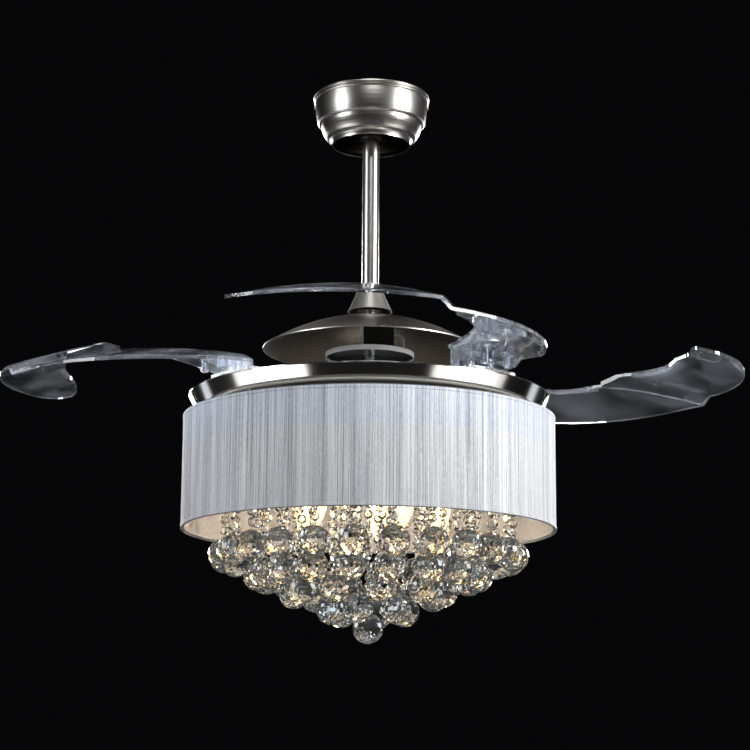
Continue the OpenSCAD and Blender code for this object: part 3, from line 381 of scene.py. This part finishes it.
def bound_edge(name, line):
    """The threads where they turn round the drum's rims, with a thin dark line along each outer edge."""
    low_line, top_line = 1.3, 0.9
    look = Shader(name, line, Roughness=0.6, Sheen_Weight=0.2)
    colour, _, fuzz = thread_colour(look)
    colour = look.mix(look.above(SHADE_LOW + low_line), line, colour)
    colour = look.mix(look.above(SHADE_TOP - top_line), colour, line)
    look.into(colour, "Base Color")
    look.bump(fuzz, 0.4, 0.0004)
    return look.material


def lining(name, dark, light, upper):
    """The drum's warm lining; above the crystal plate it is painted dark, as painted shade."""
    look = Shader(name, light, Roughness=0.5)
    grain = look.noise(look.place(), 140.0)
    # painted shade: the lining turns dark above the crystal plate
    look.into(look.mix(look.above(PLATE_TOP), look.shades(grain, dark, light), upper), "Base Color")
    look.into(look.span(grain, 0.45, 0.57), "Roughness")
    look.bump(grain, 0.15, 0.0002)
    return look.material


def bulb_glass(name):
    look = glowing(name, (1.0, 0.97, 0.90), (1.0, 0.72, 0.40), 0.4,
                   Roughness=0.02, Transmission_Weight=1.0, IOR=1.45)
    look.into(look.span(look.noise(look.place(), 60.0), 0.01, 0.06), "Roughness")
    return look.material


def hot_filament(name):
    look = glowing(name, (1.0, 0.72, 0.35), (1.0, 0.62, 0.26), 30.0, Roughness=0.5)
    grain = look.noise(look.place(), 400.0)
    look.into(look.shades(grain, (1.0, 0.60, 0.25), (1.0, 0.80, 0.45)), "Base Color")
    return look.material


def plain_floor(name):
    look = Shader(name, (0.80, 0.80, 0.79), Roughness=0.7)
    patches = look.noise(look.place(), 3.0)
    look.into(look.shades(patches, (0.78, 0.78, 0.77), (0.82, 0.82, 0.81)), "Base Color")
    return look.material


NICKEL = (0.48, 0.455, 0.425), (0.66, 0.635, 0.60)
BRIGHT_NICKEL = (0.70, 0.69, 0.67), (0.80, 0.79, 0.77)


def grey(value):
    return value, value, value


LOOKS = {
    "zinc": cast_metal("zinc_steel_mat", (0.46, 0.46, 0.45), (0.64, 0.64, 0.62), 0.34, 90.0),
    # the ceiling cover's inside is painted near black, as painted shade
    "satin": turned_metal("satin_nickel_mat", *NICKEL, 0.29, 0.03, anisotropic=0.1,
                          shaded_inside=(0.02, 0.018, 0.016), inside_above=CANOPY_LOW + LIT_LIP),
    "dish": turned_metal("dish_nickel_mat", *NICKEL, 0.30, 0.04, anisotropic=0.4,
                         underside=(0.10, 0.082, 0.068)),
    "rod": turned_metal("rod_nickel_mat", (0.42, 0.40, 0.38), (0.50, 0.48, 0.455), 0.30, 0.02,
                        lines=6.0, bump=0.0),
    # the coupling cover's inside is painted dark, as painted shade
    "bell": turned_metal("bell_nickel_mat", *NICKEL, 0.46, 0.04, shaded_inside=(0.035, 0.032, 0.03)),
    "polished": turned_metal("polished_nickel_mat", (0.66, 0.64, 0.60), (0.76, 0.74, 0.70), 0.12, 0.02,
                             lines=500.0, bump=0.04),
    "chrome": cast_metal("bright_nickel_mat", *BRIGHT_NICKEL, 0.12, 120.0, bump=0.05),
    "mirror": cast_metal("mirror_plate_mat", *BRIGHT_NICKEL, 0.1, 80.0, bump=0.04),
    "bronze": turned_metal("bronze_mat", (0.16, 0.12, 0.09), (0.27, 0.21, 0.165), 0.33, 0.05,
                           anisotropic=0.2),
    "dark_gloss": moulded("dark_gloss_mat", (0.020, 0.021, 0.021), (0.032, 0.034, 0.034), 0.14, 60.0,
                          bump=0.03),
    "white_gloss": moulded("white_gloss_mat", grey(0.90), grey(0.95), 0.2, 80.0, bump=0.03),
    "white_paint": moulded("white_paint_mat", (0.80, 0.80, 0.78), (0.87, 0.87, 0.85), 0.4, 220.0),
    "black": moulded("black_plastic_mat", (0.014, 0.014, 0.015), (0.028, 0.028, 0.03), 0.42, 500.0,
                     bump=0.3),
    "cable": moulded("cable_mat", (0.62, 0.63, 0.64), (0.74, 0.75, 0.76), 0.38, 200.0),
    "terminal": moulded("terminal_mat", (0.78, 0.76, 0.70), (0.86, 0.84, 0.78), 0.45),
    "ball_rubber": moulded("ball_rubber_mat", grey(0.03), grey(0.055), 0.6, 400.0, bump=0.3),
    "motor": cast_metal("motor_alloy_mat", grey(0.46), grey(0.62), 0.36, 70.0),
    "core": cast_metal("core_steel_mat", (0.14, 0.14, 0.15), (0.25, 0.25, 0.26), 0.5, 400.0),
    "copper": cast_metal("copper_mat", (0.50, 0.20, 0.09), (0.78, 0.38, 0.20), 0.3, 500.0),
    "magnet": cast_metal("magnet_mat", (0.12, 0.12, 0.13), (0.2, 0.2, 0.21), 0.4, 200.0),
    "gear": moulded("gear_nylon_mat", (0.70, 0.69, 0.65), (0.80, 0.79, 0.75), 0.42, 180.0),
    "blade": acrylic("clear_blade_mat", (0.87, 0.915, 1.0), 0.01, clear=0.91),
    # the blade rims carry a faint painted glow, as painted light
    "edge": painted_glow_edge("blade_edge_glow_mat", (0.86, 0.90, 1.0)),
    "arm": acrylic("clear_arm_mat", (0.90, 0.93, 0.97), 0.08, clear=0.76),
    # the threads carry painted light below one height and painted shade above it
    "threads": thread_layer("silver_thread_mat"),
    # the lining carries painted shade above the crystal plate
    "liner": lining("lining_mat", (0.70, 0.68, 0.66), (0.84, 0.82, 0.80), upper=(0.20, 0.20, 0.21)),
    "tape": bound_edge("trim_tape_mat", (0.13, 0.15, 0.19)),
    "socket": moulded("socket_mat", (0.82, 0.80, 0.75), (0.90, 0.88, 0.84), 0.25, 120.0, bump=0.05),
    "crystal": cut_crystal("cut_crystal_mat"),
    "bulb_glass": bulb_glass("bulb_glass_mat"),
    "filament": hot_filament("filament_mat"),
    "bulb_cap": cast_metal("bulb_cap_mat", (0.55, 0.53, 0.48), (0.75, 0.72, 0.66), 0.3, 150.0),
    "floor": plain_floor("floor_mat"),
}

BLADES = range(1, 5)
FINISH = {
    "satin": ["canopy", "canopy_trim_ring"],
    "rod": ["downrod"],
    "bell": ["coupling_cover"],
    "dish": ["upper_dish"],
    "polished": ["blade_tray"],
    "chrome": ["canopy_screws", "dish_screws", "motor_bearings", "pivot_caps", "crystal_plate_studs",
               *(f"blade_screws_{number}" for number in BLADES)],
    "mirror": ["crystal_plate"],
    "bronze": ["rod_collar", "shaft_yoke"],
    "zinc": ["ceiling_bracket", "rod_pins", "hollow_shaft", "shaft_nuts", "motor_screws", "pivot_posts",
             "return_springs"],
    "motor": ["motor_upper_shell", "motor_lower_shell"],
    "core": ["stator_core"],
    "copper": ["stator_windings"],
    "magnet": ["rotor_magnets"],
    "dark_gloss": ["mounting_plate"],
    "white_gloss": ["support_posts", "plate_rim"],
    "white_paint": ["lamp_plate", "shade_top_frame", "shade_bottom_ring"],
    "black": ["receiver_box"],
    "cable": ["receiver_lead"],
    "terminal": ["terminal_block"],
    "ball_rubber": ["hanger_ball"],
    "gear": ["sync_gear"],
    "socket": ["lamp_sockets"],
    "liner": ["shade_liner"],
    "blade": [f"blade_{number}" for number in BLADES],
    "arm": [f"blade_arm_{number}" for number in BLADES],
}
for finish, painted in FINISH.items():
    for name in painted:
        slots = nodes[name].data.materials
        slots.clear()
        slots.append(LOOKS[finish])


# ------------------------------------------------------------------ mesh helpers

def piece(name, verts, faces, body, slot, looks, face_looks=None, smooth=False):
    """A new piece from points in millimetres, riding on a body."""
    mesh = bpy.data.meshes.new(name)
    mesh.from_pydata([tuple(c * MM for c in v) for v in verts], [], faces)
    mesh.validate()
    made = bpy.data.objects.new(name, mesh)
    bpy.context.scene.collection.objects.link(made)
    for look in looks:
        mesh.materials.append(LOOKS[look])
    if face_looks:
        mesh.polygons.foreach_set("material_index", face_looks)
    mesh.polygons.foreach_set("use_smooth", [smooth] * len(mesh.polygons))
    mesh.update()
    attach(made, body)
    return made


class Pile:
    """Points and faces of many small shapes gathered into one piece."""

    def __init__(self):
        self.verts, self.faces, self.face_looks = [], [], []

    def add(self, shape, matrix, look=0):
        """One shape, (points, faces), placed by a matrix; look picks from the piece's materials."""
        verts, faces = shape
        base = len(self.verts)
        self.verts += [tuple(matrix @ Vector(v)) for v in verts]
        self.faces += [tuple(i + base for i in face) for face in faces]
        self.face_looks += [look] * len(faces)

    def make(self, name, body, slot, looks, smooth=False):
        return piece(name, self.verts, self.faces, body, slot, looks, self.face_looks, smooth)


def stand(x, y, z, turn=0.0, stretch=1.0):
    """Places a shape at a point, stretched upwards and turned about its upright axis."""
    turned = Matrix.Rotation(turn, 4, "Z") @ Matrix.Diagonal((1, 1, stretch, 1))
    return Matrix.Translation((x, y, z)) @ turned


def lathe(profile, sides, inward=False):
    """A turned shape from (radius, height) points; a zero radius closes to a point."""
    verts, rows = [], []
    for r, z in profile:
        count = 1 if r < 1e-6 else sides
        rows.append(list(range(len(verts), len(verts) + count)))
        angles = [2 * math.pi * i / sides for i in range(count)]
        verts += [(0.0, 0.0, z)] if count == 1 else [(r * math.cos(a), r * math.sin(a), z) for a in angles]
    faces = []
    for a, b in zip(rows, rows[1:]):
        for i in range(sides):
            j = (i + 1) % sides
            if len(a) == 1:
                faces.append((a[0], b[i], b[j]))
            elif len(b) == 1:
                faces.append((a[i], b[0], a[j]))
            else:
                faces.append((a[i], b[i], b[j], a[j]))
    if inward:
        faces = [tuple(reversed(face)) for face in faces]
    return verts, faces


def torus(ring, wire, steps=14, sides=6):
    """A link that stands upright across the y axis."""
    verts, faces = [], []
    for i in range(steps):
        a = 2 * math.pi * i / steps
        for j in range(sides):
            b = 2 * math.pi * j / sides
            r = ring + wire * math.cos(b)
            verts.append((r * math.cos(a), wire * math.sin(b), r * math.sin(a)))
    for i in range(steps):
        row, next_row = i * sides, ((i + 1) % steps) * sides
        for j in range(sides):
            k = (j + 1) % sides
            faces.append((row + j, row + k, next_row + k, next_row + j))
    return verts, faces


def facet_directions():
    """Which way the facets of a cut ball look, from rows of (latitude in degrees, facets in the row)."""
    upper = ((90, 1), (69, 7), (48, 12), (28, 16), (9, 18))
    lower = tuple((-latitude, count) for latitude, count in reversed(upper))
    directions = []
    for row, (latitude, count) in enumerate(upper + lower):
        flat, up = math.cos(math.radians(latitude)), math.sin(math.radians(latitude))
        for i in range(count):
            a = 2 * math.pi * (i + 0.5 * (row % 2)) / count
            directions.append(Vector((flat * math.cos(a), flat * math.sin(a), up)))
    return directions


def faceted_ball(radius):
    """A cut ball, made as the dual of the hull of its facet directions: each hull face becomes a corner."""
    bm = bmesh.new()
    for direction in facet_directions():
        bm.verts.new(direction)
    bmesh.ops.convex_hull(bm, input=bm.verts[:])
    bmesh.ops.triangulate(bm, faces=bm.faces[:])
    bm.verts.ensure_lookup_table()
    bm.faces.ensure_lookup_table()
    bm.faces.index_update()
    corners = []
    for face in bm.faces:
        a, b, c = (v.co for v in face.verts)
        normal = (b - a).cross(c - a).normalized()
        corners.append(normal / normal.dot(a))
    most = max(corner.length for corner in corners)
    faces = []
    for vert in bm.verts:
        out = vert.co.normalized()
        side = out.orthogonal().normalized()
        up = out.cross(side)
        ring = sorted((face.index for face in vert.link_faces),
                      key=lambda i: math.atan2(corners[i].dot(up), corners[i].dot(side)))
        if len(ring) >= 3:
            faces.append(tuple(ring))
    bm.free()
    return [tuple(corner * (radius / most)) for corner in corners], faces


def octagon_bead(radius, half_thick, table, half_girdle):
    """A flat eight-sided cut bead that stands upright on its string."""
    sides = 8
    verts = []
    for y, r in ((half_thick, table), (half_girdle, radius), (-half_girdle, radius), (-half_thick, table)):
        for i in range(sides):
            a = math.pi / sides + 2 * math.pi * i / sides
            verts.append((r * math.cos(a), y, r * math.sin(a)))
    last_row = 3 * sides
    faces = [tuple(range(sides)), tuple(range(last_row + sides - 1, last_row - 1, -1))]
    for row in range(0, last_row, sides):
        for i in range(sides):
            j = (i + 1) % sides
            faces.append((row + i, row + sides + i, row + sides + j, row + j))
    return verts, faces


# ------------------------------------------------------------------ crystals

BALL_INSET = 0.1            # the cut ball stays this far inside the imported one
FIRST_BEAD = 0.6            # pitches from the plate to the first bead
TURN_PLAY = 0.35            # how far a bead may stray from a quarter turn to the one above
LINK_TURN = 0.8             # turn of a link against its bead
WIRE_LIFT = 1.0             # the string's wire ends this far above the floor of the ball's hole
DROP_GAP = 0.5              # the lowest string starts this far below the plate
WIRE_R = 0.35

BALL = faceted_ball(BALL_R - BALL_INSET)
BEAD = octagon_bead(BEAD_R, half_thick=3.4, table=4.3, half_girdle=0.8)
LINK = torus(ring=1.5, wire=0.3)
WIRE = lathe([(WIRE_R, 0.0), (WIRE_R, 1.0)], 6)
GLASS, METAL = 0, 1         # the two materials of a string


def hang(strings, balls, x, y, top, ball_z):
    """One string of beads from the plate at top down to the ball."""
    balls.add(BALL, stand(x, y, ball_z, random.uniform(0, math.tau)))
    low = ball_z + BALL_R - HOLE + WIRE_LIFT
    count = int((top - low - BEAD_R) // PITCH)
    turn = random.uniform(0, math.tau)
    for i in range(count):
        z = top - PITCH * (i + FIRST_BEAD)
        turn += math.pi / 2 + random.uniform(-TURN_PLAY, TURN_PLAY)
        strings.add(BEAD, stand(x, y, z, turn), GLASS)
        strings.add(LINK, stand(x, y, z + PITCH / 2, turn + LINK_TURN), METAL)
    strings.add(WIRE, stand(x, y, low, stretch=top - low), METAL)
    strings.add(LINK, stand(x, y, ball_z + BALL_R, turn), METAL)


for label, rings in (("outer", (0, 1)), ("inner", (2, 3))):
    strings, balls = Pile(), Pile()
    for ring in rings:
        for i in range(RING_N[ring]):
            angle = math.radians(RING_START[ring] + 360 * i / RING_N[ring])
            x, y = RING_R[ring] * math.cos(angle), RING_R[ring] * math.sin(angle)
            hang(strings, balls, x, y, PLATE_LOW, RING_Z[ring])
    cut_beads = strings.make(f"cut_beads_{label}", "hung", "crystal", ["crystal", "chrome"])
    cut_balls = balls.make(f"cut_balls_{label}", "hung", "crystal", ["crystal"])
    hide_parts(f"bead_strings_{label}")
    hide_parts(f"crystal_balls_{label}")

strings, balls = Pile(), Pile()
hang(strings, balls, 0.0, 0.0, PLATE_LOW - DROP_GAP, DROP_Z)
cut_beads = strings.make("cut_beads_drop", "centre_drop", "crystal", ["crystal", "chrome"])
cut_balls = balls.make("cut_ball_drop", "centre_drop", "crystal", ["crystal"])
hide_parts("drop_string")
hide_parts("drop_ball")


# ------------------------------------------------------------------ bulbs

NECK_R = SOCKET_R - 4.0
NECK_IN = 16.0              # how far the bulb's neck reaches up into the socket
WIDEST = 0.35               # share of the bulb's length where it is widest
TAPER, TIP_R = 0.75, 0.4    # how the flame narrows to its tip
GLASS_T, TIP_T = 0.8, 2.0   # the glass is this thick at the side and at the tip
BULB_STEPS, BULB_SIDES = 28, 40
FILAMENTS, FILAMENT_R, FILAMENT_RING, FILAMENT_TURN = 4, 1.1, 4.2, 0.4
FILAMENT_DROP = 52.0        # from the socket's mouth down to the filaments' lower ends
FILAMENT_LEN = 34.0
# Outline of the stem inside the bulb: radius, and height above the socket's mouth
STEM = ((0.0, -20.0), (1.2, -19.0), (2.6, -6.0), (6.5, 4.0), (6.5, 14.0), (0.0, 14.0))


def bulb_radius(t):
    """Radius of the flame bulb at a share t of its length below the socket."""
    if t < WIDEST:
        return NECK_R + (BULB_R - NECK_R) * math.sin(t / WIDEST * math.pi / 2)
    narrowing = math.cos((t - WIDEST) / (1 - WIDEST) * math.pi / 2)
    return BULB_R * max(narrowing, 0.0) ** TAPER + TIP_R


def lamp_place(i):
    """Where lamp i stands, seen from above."""
    angle = math.radians(LAMP_START + 360 * i / LAMP_COUNT)
    return LAMP_R * math.cos(angle), LAMP_R * math.sin(angle)


def bulb_profiles():
    """Outer and inner outline of the bulb's glass."""
    shares = [i / BULB_STEPS for i in range(BULB_STEPS + 1)]
    side = [(bulb_radius(t), SOCKET_LOW - BULB_LEN * t) for t in shares]
    side.insert(0, (NECK_R, SOCKET_LOW + NECK_IN))
    outer = side + [(0.0, BULB_LOW)]
    inner = [(max(r - GLASS_T, 0.0), z) for r, z in side[:-1]] + [(0.0, BULB_LOW + TIP_T)]
    return outer, inner


outer, inner = bulb_profiles()
OUTER_GLASS, INNER_GLASS = lathe(outer, BULB_SIDES), lathe(inner, BULB_SIDES, inward=True)
FILAMENT = lathe([(0.0, 0.0), (FILAMENT_R, 0.0), (FILAMENT_R, 1.0), (0.0, 1.0)], 10)
STEM_SHAPE = lathe([(r, SOCKET_LOW + z) for r, z in STEM], 16)
BULB_LOOKS = ["bulb_glass", "filament", "bulb_cap"]


def add_bulb(bulbs, x, y):
    """One flame bulb, with its filaments and the stem that carries them."""
    at = stand(x, y, 0.0)
    bulbs.add(OUTER_GLASS, at, 0)
    bulbs.add(INNER_GLASS, at, 0)
    for i in range(FILAMENTS):
        angle = 2 * math.pi / FILAMENTS * i + FILAMENT_TURN
        out, aside = FILAMENT_RING * math.cos(angle), FILAMENT_RING * math.sin(angle)
        bulbs.add(FILAMENT, at @ stand(out, aside, SOCKET_LOW - FILAMENT_DROP, stretch=FILAMENT_LEN), 1)
    bulbs.add(STEM_SHAPE, at, 2)


bulbs = Pile()
for i in range(LAMP_COUNT):
    add_bulb(bulbs, *lamp_place(i))
flames = bulbs.make("flame_bulbs", "hung", "lamp_glass", BULB_LOOKS, smooth=True)
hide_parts("lamp_bulbs")
flames.visible_shadow = False


# ------------------------------------------------------------------ shade

AROUND, UP = 2600, 3        # steps of the thread layer round the drum and up it
THREAD_SINK = 0.55          # how far the threads lie inside the bound edges
GROOVE = 0.16               # depth of the grooves beside the threads
SINK_PLAY = 0.14            # how much deeper a thread may lie
depth = [random.random() for _ in range(AROUND)]
thread_r = SHADE_R - THREAD_SINK


def thread_radius(i):
    """Every second column is the groove beside a thread; some threads lie a little deeper."""
    groove = GROOVE if i % 2 else 0.0
    return thread_r - groove - SINK_PLAY * depth[i - i % 2]


def thread_drum():
    """The thread layer, an open drum."""
    verts, faces = [], []
    for row in range(UP + 1):
        z = SHADE_LOW + (SHADE_TOP - SHADE_LOW) * row / UP
        for i in range(AROUND):
            angle, r = 2 * math.pi * i / AROUND, thread_radius(i)
            verts.append((r * math.cos(angle), r * math.sin(angle), z))
    for row in range(0, UP * AROUND, AROUND):
        for i in range(AROUND):
            j = (i + 1) % AROUND
            faces.append((row + i, row + j, row + AROUND + j, row + AROUND + i))
    return verts, faces


def edge_tape(low):
    """Outline of a bound edge, up from the height of its lower side."""
    back, flat, band = SHADE_R - 0.5, SHADE_R - 0.05, SHADE_R - 0.1
    top = low + TRIM_H
    return [(back, low), (flat, low + 0.15), (SHADE_R, low + 0.7), (flat, low + 1.4),
            (band, top - 1.4), (SHADE_R, top - 0.7), (flat, top - 0.15), (back, top)]


threads = piece("upright_threads", *thread_drum(), "hung", "silver_thread", ["threads"], smooth=True)
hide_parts("shade_threads")

for label, low in (("low", SHADE_LOW), ("top", SHADE_TOP - TRIM_H)):
    verts, faces = lathe(edge_tape(low), 256, inward=True)
    piece(f"edge_tape_{label}", verts, faces, "hung", "trim_tape", ["tape"], smooth=True)
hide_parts("shade_trims")


# ------------------------------------------------------------------ blades

RIM_WIDTH, RIM_STEPS = 1.9, 3
RIM_ANGLE = 40.0            # edges that bend more than this, in degrees, are rounded
WELD = 0.02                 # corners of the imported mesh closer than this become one

for number in BLADES:
    blade = nodes[f"blade_{number}"]
    blade.visible_shadow = False
    nodes[f"blade_arm_{number}"].visible_shadow = False
    weld = blade.modifiers.new("weld", "WELD")
    weld.merge_threshold = WELD * MM
    rim = blade.modifiers.new("rounded", "BEVEL")
    rim.width = RIM_WIDTH * MM
    rim.segments = RIM_STEPS
    rim.limit_method = "ANGLE"
    rim.angle_limit = math.radians(RIM_ANGLE)
    rim.material = 1
    blade.data.materials.append(LOOKS["edge"])


# ------------------------------------------------------------------ floor and light, in metres

FLOOR_Z, FLOOR_HALF = -2.5, 40
BACKGROUND = (0.002, 0.002, 0.0024)
corners = [(-1, -1), (1, -1), (1, 1), (-1, 1)]
mesh = bpy.data.meshes.new("floor")
mesh.from_pydata([(x * FLOOR_HALF, y * FLOOR_HALF, FLOOR_Z) for x, y in corners], [], [(0, 1, 2, 3)])
mesh.materials.append(LOOKS["floor"])
floor = bpy.data.objects.new("floor", mesh)
bpy.context.scene.collection.objects.link(floor)

world = bpy.data.worlds.new("studio")
bpy.context.scene.world = world
world.use_nodes = True
world.node_tree.nodes["Background"].inputs["Color"].default_value = (*BACKGROUND, 1)
world.node_tree.nodes["Background"].inputs["Strength"].default_value = 1.0

MIDDLE = (0.0, 0.0, -0.45)
WHITE, WARM, COOL, SKY = (1, 1, 1), (1, 0.98, 0.95), (0.93, 0.96, 1.0), (0.84, 0.90, 1.0)


def place_light(name, light, at):
    """Puts a light at a place, out of the camera's sight."""
    holder = bpy.data.objects.new(name, light)
    holder.location = at
    holder.visible_camera = False
    bpy.context.scene.collection.objects.link(holder)
    return holder


def softbox(name, at, size, power, colour, beam, aim=MIDDLE, roll=0, seen_through=True):
    """A soft oval light; beam is the width of its beam and roll its turn about that, both in degrees."""
    light = bpy.data.lights.new(name, "AREA")
    light.shape = "ELLIPSE"
    light.size, light.size_y = size
    light.energy = power
    light.color = colour
    light.spread = math.radians(beam)
    holder = place_light(name, light, at)
    turn = Quaternion((0, 0, 1), math.radians(roll))
    holder.rotation_mode = "QUATERNION"
    holder.rotation_quaternion = (Vector(aim) - Vector(at)).to_track_quat("-Z", "Y") @ turn
    holder.visible_transmission = seen_through


# Name, place, size, power, colour and beam
softbox("left_box", (-2.5, -1.3, 0.15), (1.0, 1.3), 2.8, COOL, 50)
softbox("right_box", (2.5, -1.1, 0.15), (1.1, 1.3), 7.9, WHITE, 50)
softbox("front_box", (0.2, -3.4, 1.6), (2.2, 0.8), 2.3, WHITE, 50)
softbox("back_left", (-1.2, 3.0, 0.1), (0.9, 1.2), 2.2, WHITE, 32, seen_through=False)
softbox("back_right", (1.2, 3.0, 0.1), (0.9, 1.2), 2.2, WHITE, 32, seen_through=False)
softbox("top_box", (0.0, 0.5, 2.2), (1.4, 2.2), 2.2, WARM, 24)
softbox("bell_box", (0.0, -1.2, 2.2), (2.4, 1.6), 1.3, WHITE, 26, aim=(0.0, 0.0, -0.3))
softbox("low_left", (-1.42, -0.52, -1.38), (1.6, 0.45), 1.0, WHITE, 70, roll=-22)
softbox("low_right", (1.42, -0.52, -1.38), (1.6, 0.45), 0.75, WHITE, 70, roll=22)
softbox("back_low_left", (-3.3, 3.6, -1.5), (2.6, 0.5), 0.4, SKY, 60)
softbox("back_low_right", (3.3, 3.6, -1.5), (2.6, 0.5), 0.4, SKY, 60)

LAMP_POWER, LAMP_COLOUR, LAMP_SIZE = 0.19, (1.0, 0.93, 0.86), 0.009
LAMP_DROP = 35              # millimetres from the socket's mouth down to the lamp's light
for i in range(LAMP_COUNT):
    x, y = lamp_place(i)
    light = bpy.data.lights.new(f"lamp_{i + 1}", "POINT")
    light.energy = LAMP_POWER
    light.color = LAMP_COLOUR
    light.shadow_soft_size = LAMP_SIZE
    place_light(f"lamp_{i + 1}", light, (x * MM, y * MM, (SOCKET_LOW - LAMP_DROP) * MM))


# ------------------------------------------------------------------ camera, in metres

CAMERA_AT = (0.0, -2.8393, -1.0167)
PITCH_UP, YAW, ROLL = math.radians(11.763), math.radians(-0.161), math.radians(0.366)
SENSOR, LENS = 36.0, 95.17                  # millimetres

camera = bpy.data.cameras.new("camera")
camera.sensor_width = SENSOR
camera.lens = LENS
cam = bpy.data.objects.new("camera", camera)
cam.rotation_mode = "XYZ"
cam.location = CAMERA_AT
aim = Matrix.Rotation(YAW, 3, "Z") @ Matrix.Rotation(math.pi / 2 + PITCH_UP, 3, "X")
cam.rotation_euler = (aim @ Matrix.Rotation(ROLL, 3, "Z")).to_euler("XYZ")
bpy.context.scene.collection.objects.link(cam)
bpy.context.scene.camera = cam
bpy.context.scene.view_settings.view_transform = "Standard"
